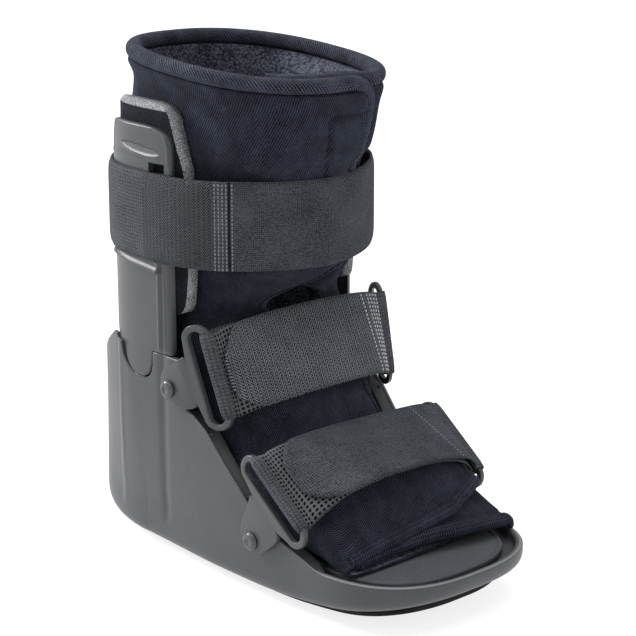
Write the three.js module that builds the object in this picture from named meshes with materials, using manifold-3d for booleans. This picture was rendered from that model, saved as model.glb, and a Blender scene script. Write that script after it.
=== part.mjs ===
// Medical walking boot, right foot: a short fixed-ankle walker with a wrap liner and three straps.
// Millimetres. The toe points to -Y, +Z is up, and the wearer's right side is -X.
import * as THREE from "three";
import { mergeVertices } from "three/addons/utils/BufferGeometryUtils.js";
import Module from "manifold-3d";

const wasm = await Module();
wasm.setup();

// Driving sizes of the whole boot
const SOLE_LENGTH = 292;
const BOOT_HEIGHT = 292;
const FOREFOOT_HALF_WIDTH = 64.5;
const HEEL_HALF_WIDTH = 60;
const LEG_HALF_WIDTH = 72.5;
const LEG_HALF_DEPTH = 73;

// Walls and layers
const CLEARANCE = 0.35;
const TREAD_THICKNESS = 5;
const TREAD_INSET = 14;
const TOE_LIFT = 13.5;
const HEEL_LIFT = 7;
const SHELL_WALL = 4;
const SHELL_FLOOR_Z = 24;
const RIM_Z = 30;
const RIM_RECESS = 6.5;
const FOOTBED_THICKNESS = 4;
const UPRIGHT_THICKNESS = 3.6;
const PAD_THICKNESS = 9.8;
const LINER_THICKNESS = 8;
const BINDING_WIDTH = 9.4;
const BINDING_HEIGHT = 9;

// Straps and their rings
const CALF_STRAP_WIDTH = 49;
const CALF_STRAP_THICKNESS = 2.5;
const STRAP_WIDTH = 48;
const STRAP_THICKNESS = 1.8;
const STRAP_LAYER_GAP = 0.5;
const RING_THICKNESS = 3.2;
const RING_BAR = 4.3;
const RING_SLOT_WIDTH = 8;
const RING_SLOT_LENGTH = 53;
const RIVET_RADIUS = 5.2;
const RIVET_HEIGHT = 2.4;

const MATERIALS = {
  plastic: new THREE.MeshStandardMaterial({ color: 0x5c5c61, roughness: 0.55, metalness: 0 }),
  rubber: new THREE.MeshStandardMaterial({ color: 0x26262a, roughness: 0.9, metalness: 0 }),
  insole: new THREE.MeshStandardMaterial({ color: 0x55565b, roughness: 0.75, metalness: 0 }),
  padding: new THREE.MeshStandardMaterial({ color: 0x222530, roughness: 0.95, metalness: 0 }),
  foam: new THREE.MeshStandardMaterial({ color: 0x77787c, roughness: 0.95, metalness: 0 }),
  webbing: new THREE.MeshStandardMaterial({ color: 0x404248, roughness: 0.9, metalness: 0 }),
};

const boot = new THREE.Group();

// Places along the boot and up it, as shares of its length and height
const along = (share) => share * SOLE_LENGTH;
const up = (share) => share * BOOT_HEIGHT;

const mix = (a, b, t) => a + (b - a) * t;
const clamp = (value, low = 0, high = 1) => Math.min(high, Math.max(low, value));
const smooth = (t) => clamp(t) ** 2 * (3 - 2 * clamp(t));
const radians = (degrees) => (degrees * Math.PI) / 180;
const power = (value, exponent) => Math.sign(value) * Math.abs(value) ** exponent;

// Closed body from points and triangles: one copy of each vertex, no empty faces, faces pointing out
function closedBody(points, triangles) {
  const raw = new THREE.BufferGeometry();
  raw.setAttribute("position", new THREE.Float32BufferAttribute(points.flatMap((p) => [p.x, p.y, p.z]), 3));
  raw.setIndex(triangles.flat());
  const merged = mergeVertices(raw, 1e-3);
  const index = Array.from(merged.index.array);
  const place = merged.attributes.position;
  const corner = (i) => new THREE.Vector3().fromBufferAttribute(place, i);
  let faces = [];
  for (let i = 0; i < index.length; i += 3) {
    const [a, b, c] = index.slice(i, i + 3);
    if (a !== b && b !== c && c !== a) faces.push([a, b, c]);
  }
  const volume = faces.reduce((sum, [a, b, c]) => sum + corner(a).dot(corner(b).cross(corner(c))), 0);
  if (volume < 0) faces = faces.map(([a, b, c]) => [a, c, b]);
  merged.setIndex(faces.flat());
  return merged;
}

// Skin between neighbouring loops of equal length, with the ends closed by a ladder of quads
function loft(loops, ring = false) {
  const size = loops[0].length;
  const points = loops.flat();
  const triangles = [];
  const quad = (a, b, c, d) => triangles.push([a, b, c], [a, c, d]);
  const spans = ring ? loops.length : loops.length - 1;
  for (let i = 0; i < spans; i += 1) {
    const [low, high] = [i * size, ((i + 1) % loops.length) * size];
    for (let j = 0; j < size; j += 1) {
      const k = (j + 1) % size;
      quad(low + j, low + k, high + k, high + j);
    }
  }
  if (!ring) {
    const top = (loops.length - 1) * size;
    for (let j = 0; j < size / 2 - 1; j += 1) {
      const [k, across] = [j + 1, size - 1 - j];
      quad(j, across, across - 1, k);
      quad(top + j, top + k, top + across - 1, top + across);
    }
  }
  return closedBody(points, triangles);
}

// Thick cloth: two grids of points, outside and inside, joined round their four edges
function thickSheet(outside, inside) {
  const [rows, columns] = [outside.length, outside[0].length];
  const points = [...outside.flat(), ...inside.flat()];
  const at = (row, column) => row * columns + column;
  const back = rows * columns;
  const triangles = [];
  const quad = (a, b, c, d) => triangles.push([a, b, c], [a, c, d]);
  for (let i = 0; i < rows - 1; i += 1) {
    for (let j = 0; j < columns - 1; j += 1) {
      const [a, b, c, d] = [at(i, j), at(i, j + 1), at(i + 1, j + 1), at(i + 1, j)];
      quad(a, b, c, d);
      quad(back + a, back + d, back + c, back + b);
    }
  }
  for (let j = 0; j < columns - 1; j += 1) {
    quad(at(0, j), back + at(0, j), back + at(0, j + 1), at(0, j + 1));
    quad(at(rows - 1, j), at(rows - 1, j + 1), back + at(rows - 1, j + 1), back + at(rows - 1, j));
  }
  for (let i = 0; i < rows - 1; i += 1) {
    quad(at(i, 0), at(i + 1, 0), back + at(i + 1, 0), back + at(i, 0));
    const [low, high] = [at(i, columns - 1), at(i + 1, columns - 1)];
    quad(low, back + low, back + high, high);
  }
  return closedBody(points, triangles);
}

function toSolid(geometry) {
  const bare = new THREE.BufferGeometry();
  bare.setAttribute("position", geometry.attributes.position);
  if (geometry.index) bare.setIndex(geometry.index);
  const merged = mergeVertices(bare, 1e-4);
  return new wasm.Manifold(
    new wasm.Mesh({
      numProp: 3,
      vertProperties: merged.attributes.position.array,
      triVerts: new Uint32Array(merged.index.array),
    }),
  );
}

function toGeometry(solid) {
  const mesh = solid.getMesh();
  const geometry = new THREE.BufferGeometry();
  geometry.setAttribute("position", new THREE.BufferAttribute(mesh.vertProperties, 3));
  geometry.setIndex(new THREE.BufferAttribute(mesh.triVerts, 1));
  return geometry;
}

function cut(geometry, ...cutters) {
  return toGeometry(cutters.reduce((solid, cutter) => solid.subtract(toSolid(cutter)), toSolid(geometry)));
}

function mirrored(geometry) {
  const copy = geometry.clone().scale(-1, 1, 1);
  const index = copy.index.array;
  for (let i = 0; i < index.length; i += 3) [index[i + 1], index[i + 2]] = [index[i + 2], index[i + 1]];
  return copy;
}

function addNode(name, geometry, material) {
  const flat = geometry.index ? geometry.toNonIndexed() : geometry.clone();
  flat.computeVertexNormals();
  const mesh = new THREE.Mesh(flat, MATERIALS[material]);
  mesh.name = name;
  boot.add(mesh);
}

// A flat outline in the (Y, Z) plane made into a plate from x = low to x = high
function sidePlate(shape, low, high, curveSegments = 8) {
  const plate = new THREE.ExtrudeGeometry(shape, { depth: high - low, bevelEnabled: false, curveSegments });
  plate.applyMatrix4(new THREE.Matrix4().set(0, 0, 1, low, 1, 0, 0, 0, 0, 1, 0, 0, 0, 0, 0, 1));
  return plate;
}

// Shell: outlines of its foot at floor level and of its leg opening, and its rocker underside
const HEEL_CENTRE_Y = along(0.205);
const TOE_CENTRE_Y = along(-0.291);
const SHELL_TOP_Z = up(0.448);
const SHELL_LEG_HALF_WIDTH = LEG_HALF_WIDTH - CALF_STRAP_THICKNESS + CLEARANCE;
const SHELL_LEG_REACH = along(0.25);
const HEEL_SQUARENESS = 2.05;
const LEG_BACK_SQUARENESS = 1.9;
const TOE_SQUARENESS = 2.6;
const HEEL_STEPS = 8;
const TOE_STEPS = 10;

const CREASE_DEPTH = 1.2;

// Side stations: place along the boot, width as a share of the forefoot's, how far the leg form takes over
// above, and the share of the soft vertical crease's depth
const SIDE_STATIONS = [
  { y: 0.161, width: 0.945, leg: 1, dent: 0 },
  { y: 0.127, width: 0.957, leg: 1, dent: 0 },
  { y: 0.117, width: 0.961, leg: 1, dent: 1 },
  { y: 0.108, width: 0.965, leg: 1, dent: 0 },
  { y: 0.07, width: 0.978, leg: 1, dent: 0 },
  { y: 0.05, width: 0.985, leg: 0.98, dent: 0 },
  { y: 0.027, width: 0.993, leg: 0.95, dent: 0 },
  { y: -0.007, width: 1, leg: 0.9, dent: 0 },
  { y: -0.055, width: 1.006, leg: 0.8, dent: 0 },
  { y: -0.123, width: 1.01, leg: 0.6, dent: 0 },
  { y: -0.195, width: 1.01, leg: 0.4, dent: 0 },
  { y: -0.25, width: 1.003, leg: 0.2, dent: 0 },
];

// The rocker lifts the underside towards the toe and the heel, from either end of its flat middle
const FLAT_FRONT_Y = along(-0.13);
const FLAT_BACK_Y = along(0.24);
const TOE_LIFT_BEND = 1.8;
const HEEL_LIFT_BEND = 2;

function rockerZ(y) {
  const toe = clamp((FLAT_FRONT_Y - y) / (SOLE_LENGTH / 2 + FLAT_FRONT_Y));
  const heel = clamp((y - FLAT_BACK_Y) / (SOLE_LENGTH / 2 - FLAT_BACK_Y));
  return TOE_LIFT * toe ** TOE_LIFT_BEND + HEEL_LIFT * heel ** HEEL_LIFT_BEND;
}

// Half outline of the shell from the middle of the heel, round one side, to the middle of the toe
function halfOutline(inset, climb) {
  const half = [];
  const heelReach = mix(SOLE_LENGTH / 2 - HEEL_CENTRE_Y, SHELL_LEG_REACH, climb);
  const heelHalf = mix(HEEL_HALF_WIDTH, SHELL_LEG_HALF_WIDTH, climb);
  const squareness = mix(HEEL_SQUARENESS, LEG_BACK_SQUARENESS, climb);
  for (let i = 0; i <= HEEL_STEPS; i += 1) {
    const turn = radians((90 * i) / HEEL_STEPS);
    half.push({
      x: (heelHalf - inset) * power(Math.sin(turn), 2 / squareness),
      y: HEEL_CENTRE_Y + (heelReach - inset) * power(Math.cos(turn), 2 / squareness),
    });
  }
  for (const station of SIDE_STATIONS) {
    const foot = station.width * FOREFOOT_HALF_WIDTH;
    const width = mix(foot, SHELL_LEG_HALF_WIDTH, climb * station.leg);
    half.push({ x: width - inset - station.dent * CREASE_DEPTH, y: along(station.y) });
  }
  for (let i = 0; i <= TOE_STEPS; i += 1) {
    const turn = radians((90 * i) / TOE_STEPS);
    half.push({
      x: (FOREFOOT_HALF_WIDTH - inset) * power(Math.cos(turn), 2 / TOE_SQUARENESS),
      y: TOE_CENTRE_Y - (SOLE_LENGTH / 2 + TOE_CENTRE_Y - inset) * power(Math.sin(turn), 2 / TOE_SQUARENESS),
    });
  }
  return half;
}

// Closed level loop: both sides of the half outline, each point lifted to its own height. Its first and
// last points pair up across the boot, as the loft's ladder needs
function levelLoop(inset, climb, heightAt) {
  const half = halfOutline(inset, climb);
  const side = (sign) => half.map((p) => new THREE.Vector3(sign * p.x, p.y, heightAt(p.y)));
  return [...side(1), ...side(-1).reverse()];
}

// Share of the climb from the foot outline to the leg outline at a height, with a slight bulge
const WALL_BULGE = 0.12;

function climbAt(z) {
  const share = clamp((z - RIM_Z) / (SHELL_TOP_Z - RIM_Z));
  return share + WALL_BULGE * Math.sin(Math.PI * share);
}

// Outside of the shell's side wall at a place: its distance from the middle plane
function shellSideX(y, z) {
  const half = halfOutline(0, climbAt(z));
  const next = half.findIndex((p) => p.y <= y);
  const [a, b] = [half[next - 1], half[next]];
  return mix(a.x, b.x, (a.y - y) / (a.y - b.y));
}

// Rounded lower edge of the shell: its reach inwards and its height, and the curve between as shares of them
const EDGE_REACH = 11;
const EDGE_HEIGHT = 9;
const EDGE_CURVE = [
  { inset: 1, rise: 0 },
  { inset: 0.41, rise: 0.13 },
  { inset: 0.127, rise: 0.44 },
  { inset: 0, rise: 1 },
];

const WALL_LEVELS = [0, 0.2, 0.5, 0.78, 1.02];

// Top edge of the side walls, from the toe to the heel: shares of the length and of the height
const WALL_TOP = [
  { y: -0.3, z: 0.1027 },
  { y: -0.264, z: 0.116 },
  { y: -0.195, z: 0.14 },
  { y: -0.123, z: 0.182 },
  { y: -0.055, z: 0.247 },
  { y: -0.007, z: 0.301 },
  { y: 0.027, z: 0.325 },
  { y: 0.048, z: 0.332 },
  { y: 0.0505, z: 0.4265 },
  { y: 0.264, z: 0.4265 },
  { y: 0.27, z: 0.4345 },
  { y: 0.285, z: 0.436 },
  { y: 0.33, z: 0.408 },
  { y: 0.38, z: 0.37 },
  { y: 0.43, z: 0.35 },
  { y: 0.6, z: 0.345 },
];

// Tongue at the foot of each upright, let into the shell: heights and the tongue's two edges
const TONGUE = [
  { z: 0.372, front: 0.169, back: 0.199 },
  { z: 0.378, front: 0.157, back: 0.213 },
  { z: 0.39, front: 0.149, back: 0.227 },
  { z: 0.404, front: 0.144, back: 0.236 },
  { z: 0.4265, front: 0.141, back: 0.242 },
];

// Cutters that go right through the boot from side to side
const THROUGH = [-2 * LEG_HALF_WIDTH, 2 * LEG_HALF_WIDTH];
const TONGUE_GAP = 1.5 * CLEARANCE;

function tongueCutter() {
  const shape = new THREE.Shape();
  const [low, ...rest] = TONGUE;
  const top = rest[rest.length - 1];
  shape.moveTo(along(low.front), up(low.z) - TONGUE_GAP);
  shape.lineTo(along(low.back), up(low.z) - TONGUE_GAP);
  for (const row of rest) shape.lineTo(along(row.back) + TONGUE_GAP, up(row.z));
  shape.lineTo(along(top.back) + TONGUE_GAP, BOOT_HEIGHT);
  shape.lineTo(along(top.front) - TONGUE_GAP, BOOT_HEIGHT);
  for (const row of rest.reverse()) shape.lineTo(along(row.front) - TONGUE_GAP, up(row.z));
  return sidePlate(shape, ...THROUGH);
}

// Everything above the wall's top edge, cut away over the full length
function aboveWalls() {
  const shape = new THREE.Shape();
  shape.moveTo(-SOLE_LENGTH, RIM_Z);
  for (const row of WALL_TOP) shape.lineTo(along(row.y), Math.max(RIM_Z, up(row.z)));
  shape.lineTo(SOLE_LENGTH, BOOT_HEIGHT);
  shape.lineTo(-SOLE_LENGTH, BOOT_HEIGHT);
  return sidePlate(shape, ...THROUGH);
}

const FLOOR_CORNER = 2.5;

function makeShell() {
  const underside = (y) => rockerZ(y) + TREAD_THICKNESS + CLEARANCE;
  const wallZ = (share) => mix(RIM_Z, SHELL_TOP_Z, share);
  const wallLoop = (inset) => (share) => levelLoop(inset, climbAt(wallZ(share)), () => wallZ(share));
  const edgeLoop = ({ inset, rise }) =>
    levelLoop(EDGE_REACH * inset, 0, (y) => underside(y) + EDGE_HEIGHT * rise);
  const outer = loft([...EDGE_CURVE.map(edgeLoop), ...WALL_LEVELS.map(wallLoop(0))]);
  const cavity = loft([
    levelLoop(SHELL_WALL + FLOOR_CORNER, 0, () => SHELL_FLOOR_Z),
    levelLoop(SHELL_WALL, 0, () => SHELL_FLOOR_Z + FLOOR_CORNER),
    ...WALL_LEVELS.map(wallLoop(SHELL_WALL)),
    levelLoop(SHELL_WALL, 1, () => BOOT_HEIGHT),
  ]);
  return cut(outer, cavity, aboveWalls(), tongueCutter());
}

// Tread: a rubber sole under the rocker, with shallow grooves across its flat middle
const GROOVE_DEPTH = 1.6;
const GROOVE_WIDTH = 3;
const GROOVE_COUNT = 6;
const GROOVE_PITCH = 17;
const GROOVE_MIDDLE_Y = along(0.06);
const TREAD_CORNER = 1.5;

function makeTread() {
  const body = loft([
    levelLoop(TREAD_INSET + TREAD_CORNER, 0, (y) => rockerZ(y)),
    levelLoop(TREAD_INSET, 0, (y) => rockerZ(y) + TREAD_CORNER),
    levelLoop(TREAD_INSET, 0, (y) => rockerZ(y) + TREAD_THICKNESS),
  ]);
  const grooves = [];
  for (let i = 0; i < GROOVE_COUNT; i += 1) {
    const groove = new THREE.BoxGeometry(3 * FOREFOOT_HALF_WIDTH, GROOVE_WIDTH, 2 * GROOVE_DEPTH);
    groove.translate(0, GROOVE_MIDDLE_Y + (i - (GROOVE_COUNT - 1) / 2) * GROOVE_PITCH, 0);
    grooves.push(groove);
  }
  return cut(body, ...grooves);
}

const FOOTBED_INSET = SHELL_WALL + RIM_RECESS;
const FOOTBED_TOP_Z = SHELL_FLOOR_Z + CLEARANCE + FOOTBED_THICKNESS;
const FOOTBED_CORNER = 1;

function makeFootbed() {
  return loft([
    levelLoop(FOOTBED_INSET, 0, () => SHELL_FLOOR_Z + CLEARANCE),
    levelLoop(FOOTBED_INSET, 0, () => FOOTBED_TOP_Z - FOOTBED_CORNER),
    levelLoop(FOOTBED_INSET + FOOTBED_CORNER, 0, () => FOOTBED_TOP_Z),
  ]);
}

addNode("tread", makeTread(), "rubber");
addNode("shell", makeShell(), "plastic");
addNode("footbed", makeFootbed(), "insole");

// Leg ring: the rounded form that the calf strap takes round the leg
const LEG_CENTRE_Y = along(0.15);
const LEG_FLATNESS = 3;
const LEG_POINTING = 1.5;

function legX(y, inset) {
  const share = clamp(Math.abs(y - LEG_CENTRE_Y) / (LEG_HALF_DEPTH - inset));
  return (LEG_HALF_WIDTH - inset) * (1 - share ** LEG_FLATNESS) ** (1 / LEG_POINTING);
}

// Uprights: curved plates that rise from the shell inside the calf strap
const UPRIGHT_FRONT = 0.072;
const UPRIGHT_BACK = 0.26;
const UPRIGHT_ROWS = [
  ...TONGUE,
  { z: 0.4276, front: 0.141, back: 0.242 },
  { z: 0.4285, front: UPRIGHT_FRONT, back: UPRIGHT_BACK },
  { z: 0.6, front: UPRIGHT_FRONT, back: UPRIGHT_BACK },
  { z: 0.787, front: UPRIGHT_FRONT, back: UPRIGHT_BACK },
  { z: 0.827, front: 0.078, back: 0.26 },
  { z: 0.846, front: 0.095, back: 0.258 },
  { z: 0.858, front: 0.127, back: 0.255 },
  { z: 0.863, front: 0.15, back: 0.25 },
];
const UPRIGHT_INSET = CALF_STRAP_THICKNESS + CLEARANCE;
const UPRIGHT_STEPS = 7;

function uprightLoop(row) {
  const [front, back] = [along(row.front), along(row.back)];
  const outer = [];
  const inner = [];
  for (let i = 0; i <= UPRIGHT_STEPS; i += 1) {
    const y = mix(back, front, i / UPRIGHT_STEPS);
    outer.push(new THREE.Vector3(-legX(y, UPRIGHT_INSET), y, up(row.z)));
    inner.push(new THREE.Vector3(UPRIGHT_THICKNESS - legX(y, UPRIGHT_INSET), y, up(row.z)));
  }
  return [...outer, ...inner.reverse()];
}

// Slot through the upright beside its top edge, and a shallow lens-shaped thumb recess above it
const LOCK_SLOT = { y: 0.115, z: 0.785, length: 0.05, height: 0.02 };
const RECESS_BACK = { y: 0.222, z: 0.82 };
const RECESS_FRONT = { y: 0.118, z: 0.812 };
const RECESS_MIDDLE = { y: 0.17, low: 0.8, high: 0.845 };
const RECESS_DEPTH = 1.6;

function makeUpright() {
  const slot = new THREE.BoxGeometry(LEG_HALF_WIDTH, along(LOCK_SLOT.length), up(LOCK_SLOT.height));
  slot.translate(-LEG_HALF_WIDTH, along(LOCK_SLOT.y), up(LOCK_SLOT.z));
  const { y, low, high } = RECESS_MIDDLE;
  const recess = new THREE.Shape();
  recess.moveTo(along(RECESS_BACK.y), up(RECESS_BACK.z));
  recess.quadraticCurveTo(along(y), up(high), along(RECESS_FRONT.y), up(RECESS_FRONT.z));
  recess.quadraticCurveTo(along(y), up(low), along(RECESS_BACK.y), up(RECESS_BACK.z));
  const floorX = legX(along(y), UPRIGHT_INSET) - RECESS_DEPTH;
  return cut(loft(UPRIGHT_ROWS.map(uprightLoop)), slot, sidePlate(recess, THROUGH[0], -floorX, 4));
}

// Foam pads between the uprights and the liner: heights and the two edges
const PAD_ROWS = [
  { z: 0.507, front: 0.075, back: 0.225 },
  { z: 0.513, front: 0.055, back: 0.245 },
  { z: 0.53, front: 0.04, back: 0.26 },
  { z: 0.6, front: 0.03, back: 0.27 },
  { z: 0.775, front: 0.03, back: 0.27 },
  { z: 0.87, front: 0.075, back: 0.268 },
  { z: 0.895, front: 0.1, back: 0.262 },
  { z: 0.903, front: 0.115, back: 0.25 },
];
const PAD_INSET = UPRIGHT_INSET + UPRIGHT_THICKNESS + CLEARANCE;
const PAD_STEPS = 6;
const LINER_HALF_WIDTH = LEG_HALF_WIDTH - PAD_INSET - PAD_THICKNESS - CLEARANCE;

function padLoop(row) {
  const outer = [];
  const inner = [];
  for (let i = 0; i <= PAD_STEPS; i += 1) {
    const y = mix(along(row.back), along(row.front), i / PAD_STEPS);
    outer.push(new THREE.Vector3(-legX(y, PAD_INSET), y, up(row.z)));
    const inside = Math.max(legX(y, PAD_INSET) - PAD_THICKNESS, LINER_HALF_WIDTH + CLEARANCE);
    inner.push(new THREE.Vector3(-inside, y, up(row.z)));
  }
  return [...outer, ...inner.reverse()];
}

const upright = makeUpright();
const pad = loft(PAD_ROWS.map(padLoop));
addNode("upright_right", upright, "plastic");
addNode("upright_left", mirrored(upright), "plastic");
addNode("pad_right", pad, "foam");
addNode("pad_left", mirrored(pad), "foam");

// Liner: one padded wrap from the collar, round the heel, to the open toe. Each row is a section through
// the front line of the leg and foot (fy, fz) and its back or sole line (by, bz). fy, by and fz are shares
// of the length and the height, and bz is a share of the height above the footbed, where the sole lies.
// half is a share of the liner's half width. drop lowers the left side against the right, as a share of the
// height. front and back give the squareness, wall is a share of the thickness, and inner and outer are the
// turns in degrees where the two flaps end
const LINER_COLUMNS = ["fy", "fz", "by", "bz", "half", "drop", "front", "back", "wall", "inner", "outer"];
const LINER_ROWS = [
  [-0.138, 0.93, 0.36, 0.97, 1.15, 0.007, 2.4, 2.4, 1, -40, 17],
  [-0.128, 0.89, 0.36, 0.9112, 0.99, 0.0035, 3, 2.6, 1, -40, 17],
  [-0.111, 0.81, 0.37, 0.7947, 1, 0, 3.2, 2.8, 1, -40, 17],
  [-0.085, 0.785, 0.375, 0.7614, 0.99, 0, 2.2, 2.2, 1, -40, 17],
  [-0.085, 0.608, 0.375, 0.565, 0.99, 0, 2.2, 2.2, 1, -40, 17],
  [-0.078, 0.597, 0.378, 0.5339, 1, 0, 2.4, 2.3, 1, -38, 10],
  [-0.045, 0.567, 0.393, 0.4729, 1, 0, 2.5, 2.3, 1, -12, -28],
  [0, 0.516, 0.415, 0.3674, 0.99, 0, 3, 2.3, 1, -8, -24],
  [-0.035, 0.447, 0.43, 0.2343, 1.03, 0, 3.2, 2.2, 1, -35, 12],
  [-0.086, 0.375, 0.437, 0.1122, 1, 0, 3.2, 2.2, 1, -40, 22],
  [-0.113, 0.326, 0.4, 0.0212, 0.98, 0, 3, 2.4, 1, -45, 28],
  [-0.14, 0.286, 0.27, 0.0023, 0.97, 0, 3, 3.6, 0.95, -50, 35],
  [-0.198, 0.268, 0.1, 0, 0.99, 0, 3, 4, 0.85, -52, 42],
  [-0.253, 0.254, -0.1, 0, 1.01, 0, 2.9, 4, 0.75, -55, 50],
  [-0.3, 0.236, -0.25, 0, 1.02, 0, 2.6, 4, 0.66, -58, 56],
  [-0.33, 0.2, -0.322, 0, 1.05, 0, 2.6, 4, 0.54, -60, 62],
  [-0.348, 0.172, -0.363, 0.0012, 1.06, 0, 2.6, 4, 0.44, -62, 66],
].map((row) => Object.fromEntries(row.map((value, i) => [LINER_COLUMNS[i], value])));
const LINER_SEAT_Z = FOOTBED_TOP_Z + 1.5 * CLEARANCE;
const FULL_TURN = 360;

// Turns shared by all rows run round the back; the flaps' own turns run from them to each flap's edge
const WRAP_START = 66;
const WRAP_END = 294;
const WRAP_COLUMNS = 24;
const INNER_FLAP_COLUMNS = 11;
const OUTER_FLAP_COLUMNS = 14;

function linerTurns(row) {
  const span = (from, to, count, ends) => {
    return Array.from({ length: count + ends }, (_, i) => mix(from, to, i / count));
  };
  return [
    ...span(row.inner, WRAP_START, INNER_FLAP_COLUMNS, 0),
    ...span(WRAP_START, WRAP_END, WRAP_COLUMNS, 0),
    ...span(WRAP_END, FULL_TURN + row.outer, OUTER_FLAP_COLUMNS, 1),
  ];
}

// Point on the outside of the liner: row of the table and turn from the front line towards the left side
function linerPoint(row, turn, inset) {
  const angle = radians(turn);
  const front = new THREE.Vector3(0, along(row.fy), up(row.fz));
  const back = new THREE.Vector3(0, along(row.by), mix(LINER_SEAT_Z, BOOT_HEIGHT, row.bz));
  const middle = front.clone().add(back).multiplyScalar(0.5);
  const forward = front.clone().sub(back);
  const reach = forward.length() / 2;
  const bend = 2 / (Math.cos(angle) > 0 ? row.front : row.back);
  forward.normalize();
  const across = (row.half * LINER_HALF_WIDTH - inset) * power(Math.sin(angle), bend);
  const ahead = (reach - inset) * power(Math.cos(angle), bend);
  const point = middle.addScaledVector(forward, ahead);
  return point.add(new THREE.Vector3(across, 0, -up(row.drop) * Math.sin(angle)));
}

// The inner flap lies one wall further in, under the outer flap, and a binding further in at the collar
const FLAP_BLEND = 32;
const FLAP_MARGIN = 4;
const COLLAR_SHARE = 0.88;

function flapInset(row, turn) {
  const extra = row.fz > COLLAR_SHARE ? BINDING_WIDTH - LINER_THICKNESS + 2 * CLEARANCE : 4.5 * CLEARANCE;
  return (row.wall * LINER_THICKNESS + extra) * smooth(1 - (turn - row.outer - FLAP_MARGIN) / FLAP_BLEND);
}

function linerGrid(wallShare) {
  return LINER_ROWS.map((row) =>
    linerTurns(row).map((turn) =>
      linerPoint(row, turn, flapInset(row, turn) + wallShare * row.wall * LINER_THICKNESS),
    ),
  );
}

// Binding: a padded roll along the collar and down the front edge of the outer flap
const BINDING_SIDES = 8;
const BINDING_LOW_ROW = 4;
const BINDING_CORNER_TURNS = [30, 60];

function bindingLoop(edge, outward, away) {
  const loop = [];
  const centre = edge.clone().addScaledVector(away, BINDING_HEIGHT / 2 + CLEARANCE);
  for (let i = 0; i < BINDING_SIDES; i += 1) {
    const angle = (2 * Math.PI * (i + 0.5)) / BINDING_SIDES;
    const [wide, high] = [(BINDING_WIDTH / 2) * Math.cos(angle), (BINDING_HEIGHT / 2) * Math.sin(angle)];
    loop.push(centre.clone().addScaledVector(outward, wide).addScaledVector(away, high));
  }
  return loop;
}

function makeBinding() {
  const [outside, inside] = [linerGrid(0), linerGrid(1)];
  const middle = (i, j) => outside[i][j].clone().add(inside[i][j]).multiplyScalar(0.5);
  const outward = (i, j) => outside[i][j].clone().sub(inside[i][j]).normalize();
  const square = (direction, normal) => direction.addScaledVector(normal, -direction.dot(normal)).normalize();
  const loops = [];
  const last = outside[0].length - 1;
  for (let j = 0; j <= last; j += 1) {
    const normal = outward(0, j);
    loops.push(bindingLoop(middle(0, j), normal, square(middle(0, j).sub(middle(1, j)), normal)));
  }
  const corner = outward(0, last);
  const rise = square(middle(0, last).sub(middle(1, last)), corner);
  const ahead = square(middle(0, last).sub(middle(0, last - 1)), corner);
  for (const turn of BINDING_CORNER_TURNS) {
    const away = rise.clone().multiplyScalar(Math.cos(radians(turn)));
    away.addScaledVector(ahead, Math.sin(radians(turn)));
    loops.push(bindingLoop(middle(0, last), corner, away));
  }
  for (let i = 0; i <= BINDING_LOW_ROW; i += 1) {
    const normal = outward(i, last);
    const away = square(middle(i, last).sub(middle(i, last - 1)), normal);
    loops.push(bindingLoop(middle(i, last), normal, away));
  }
  return loft(loops);
}

addNode("liner", thickSheet(linerGrid(0), linerGrid(1)), "padding");
addNode("liner_binding", makeBinding(), "padding");

// Calf strap: a closed band round the uprights
const CALF_STRAP_Z = up(0.695);
const CALF_STRAP_STEPS = 15;

function calfStrapLoop(y, sign) {
  const level = (inset, z) => {
    const scale = (LEG_HALF_DEPTH - inset) / LEG_HALF_DEPTH;
    const place = LEG_CENTRE_Y + (y - LEG_CENTRE_Y) * scale;
    return new THREE.Vector3(sign * legX(place, inset), place, z);
  };
  const [low, high] = [CALF_STRAP_Z - CALF_STRAP_WIDTH / 2, CALF_STRAP_Z + CALF_STRAP_WIDTH / 2];
  return [level(0, low), level(0, high), level(CALF_STRAP_THICKNESS, high), level(CALF_STRAP_THICKNESS, low)];
}

function makeCalfStrap() {
  const loops = [];
  for (const sign of [-1, 1]) {
    for (let i = 0; i < 2 * CALF_STRAP_STEPS; i += 1) {
      const turn = radians((90 * i) / CALF_STRAP_STEPS);
      const y = LEG_CENTRE_Y - sign * LEG_HALF_DEPTH * Math.cos(turn);
      loops.push(calfStrapLoop(y, sign));
    }
  }
  return loft(loops, true);
}

addNode("calf_strap", makeCalfStrap(), "webbing");

// Rings: flat moulded loops on the shell's sides, each with an ear held by a rivet. y, z, seatZ and bend are
// shares of the length and the height, slope is the slot's angle in degrees, lean is how far the loop tips
// in ahead of its bend, ear is the ear's reach as a share of the slot's length, and rivet a share of that
const RINGS = {
  ankle: { y: -0.0075, z: 0.405, slope: 73.3, seatZ: 0.402, lean: 0.35, bend: 0.05, ear: 0.645, rivet: 0.81 },
  toe: { y: -0.2, z: 0.2147, slope: 37.6, seatZ: 0.178, lean: 0, bend: -0.5, ear: 0.717, rivet: 0.84 },
};

// Ear outline behind the ring: along the slot as a share of half the slot, back as a share of the reach
const EAR_OUTLINE = [
  { slot: 0.57, back: 0.3 },
  { slot: 0.6, back: 0.45 },
  { slot: 0.48, back: 0.83 },
  { slot: 0.26, back: 1 },
  { slot: -0.06, back: 1 },
  { slot: -0.3, back: 0.88 },
  { slot: -0.47, back: 0.42 },
  { slot: -0.53, back: 0.28 },
];
const RIVET_SLOT_SHARE = 0.11;

function ringFrame(ring) {
  const angle = radians(ring.slope);
  const slot = new THREE.Vector3(0, -Math.cos(angle), -Math.sin(angle));
  const ahead = new THREE.Vector3(0, -Math.sin(angle), Math.cos(angle));
  const centre = new THREE.Vector3(0, along(ring.y), up(ring.z));
  return { slot, ahead, centre, earReach: ring.ear * RING_SLOT_LENGTH };
}

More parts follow.
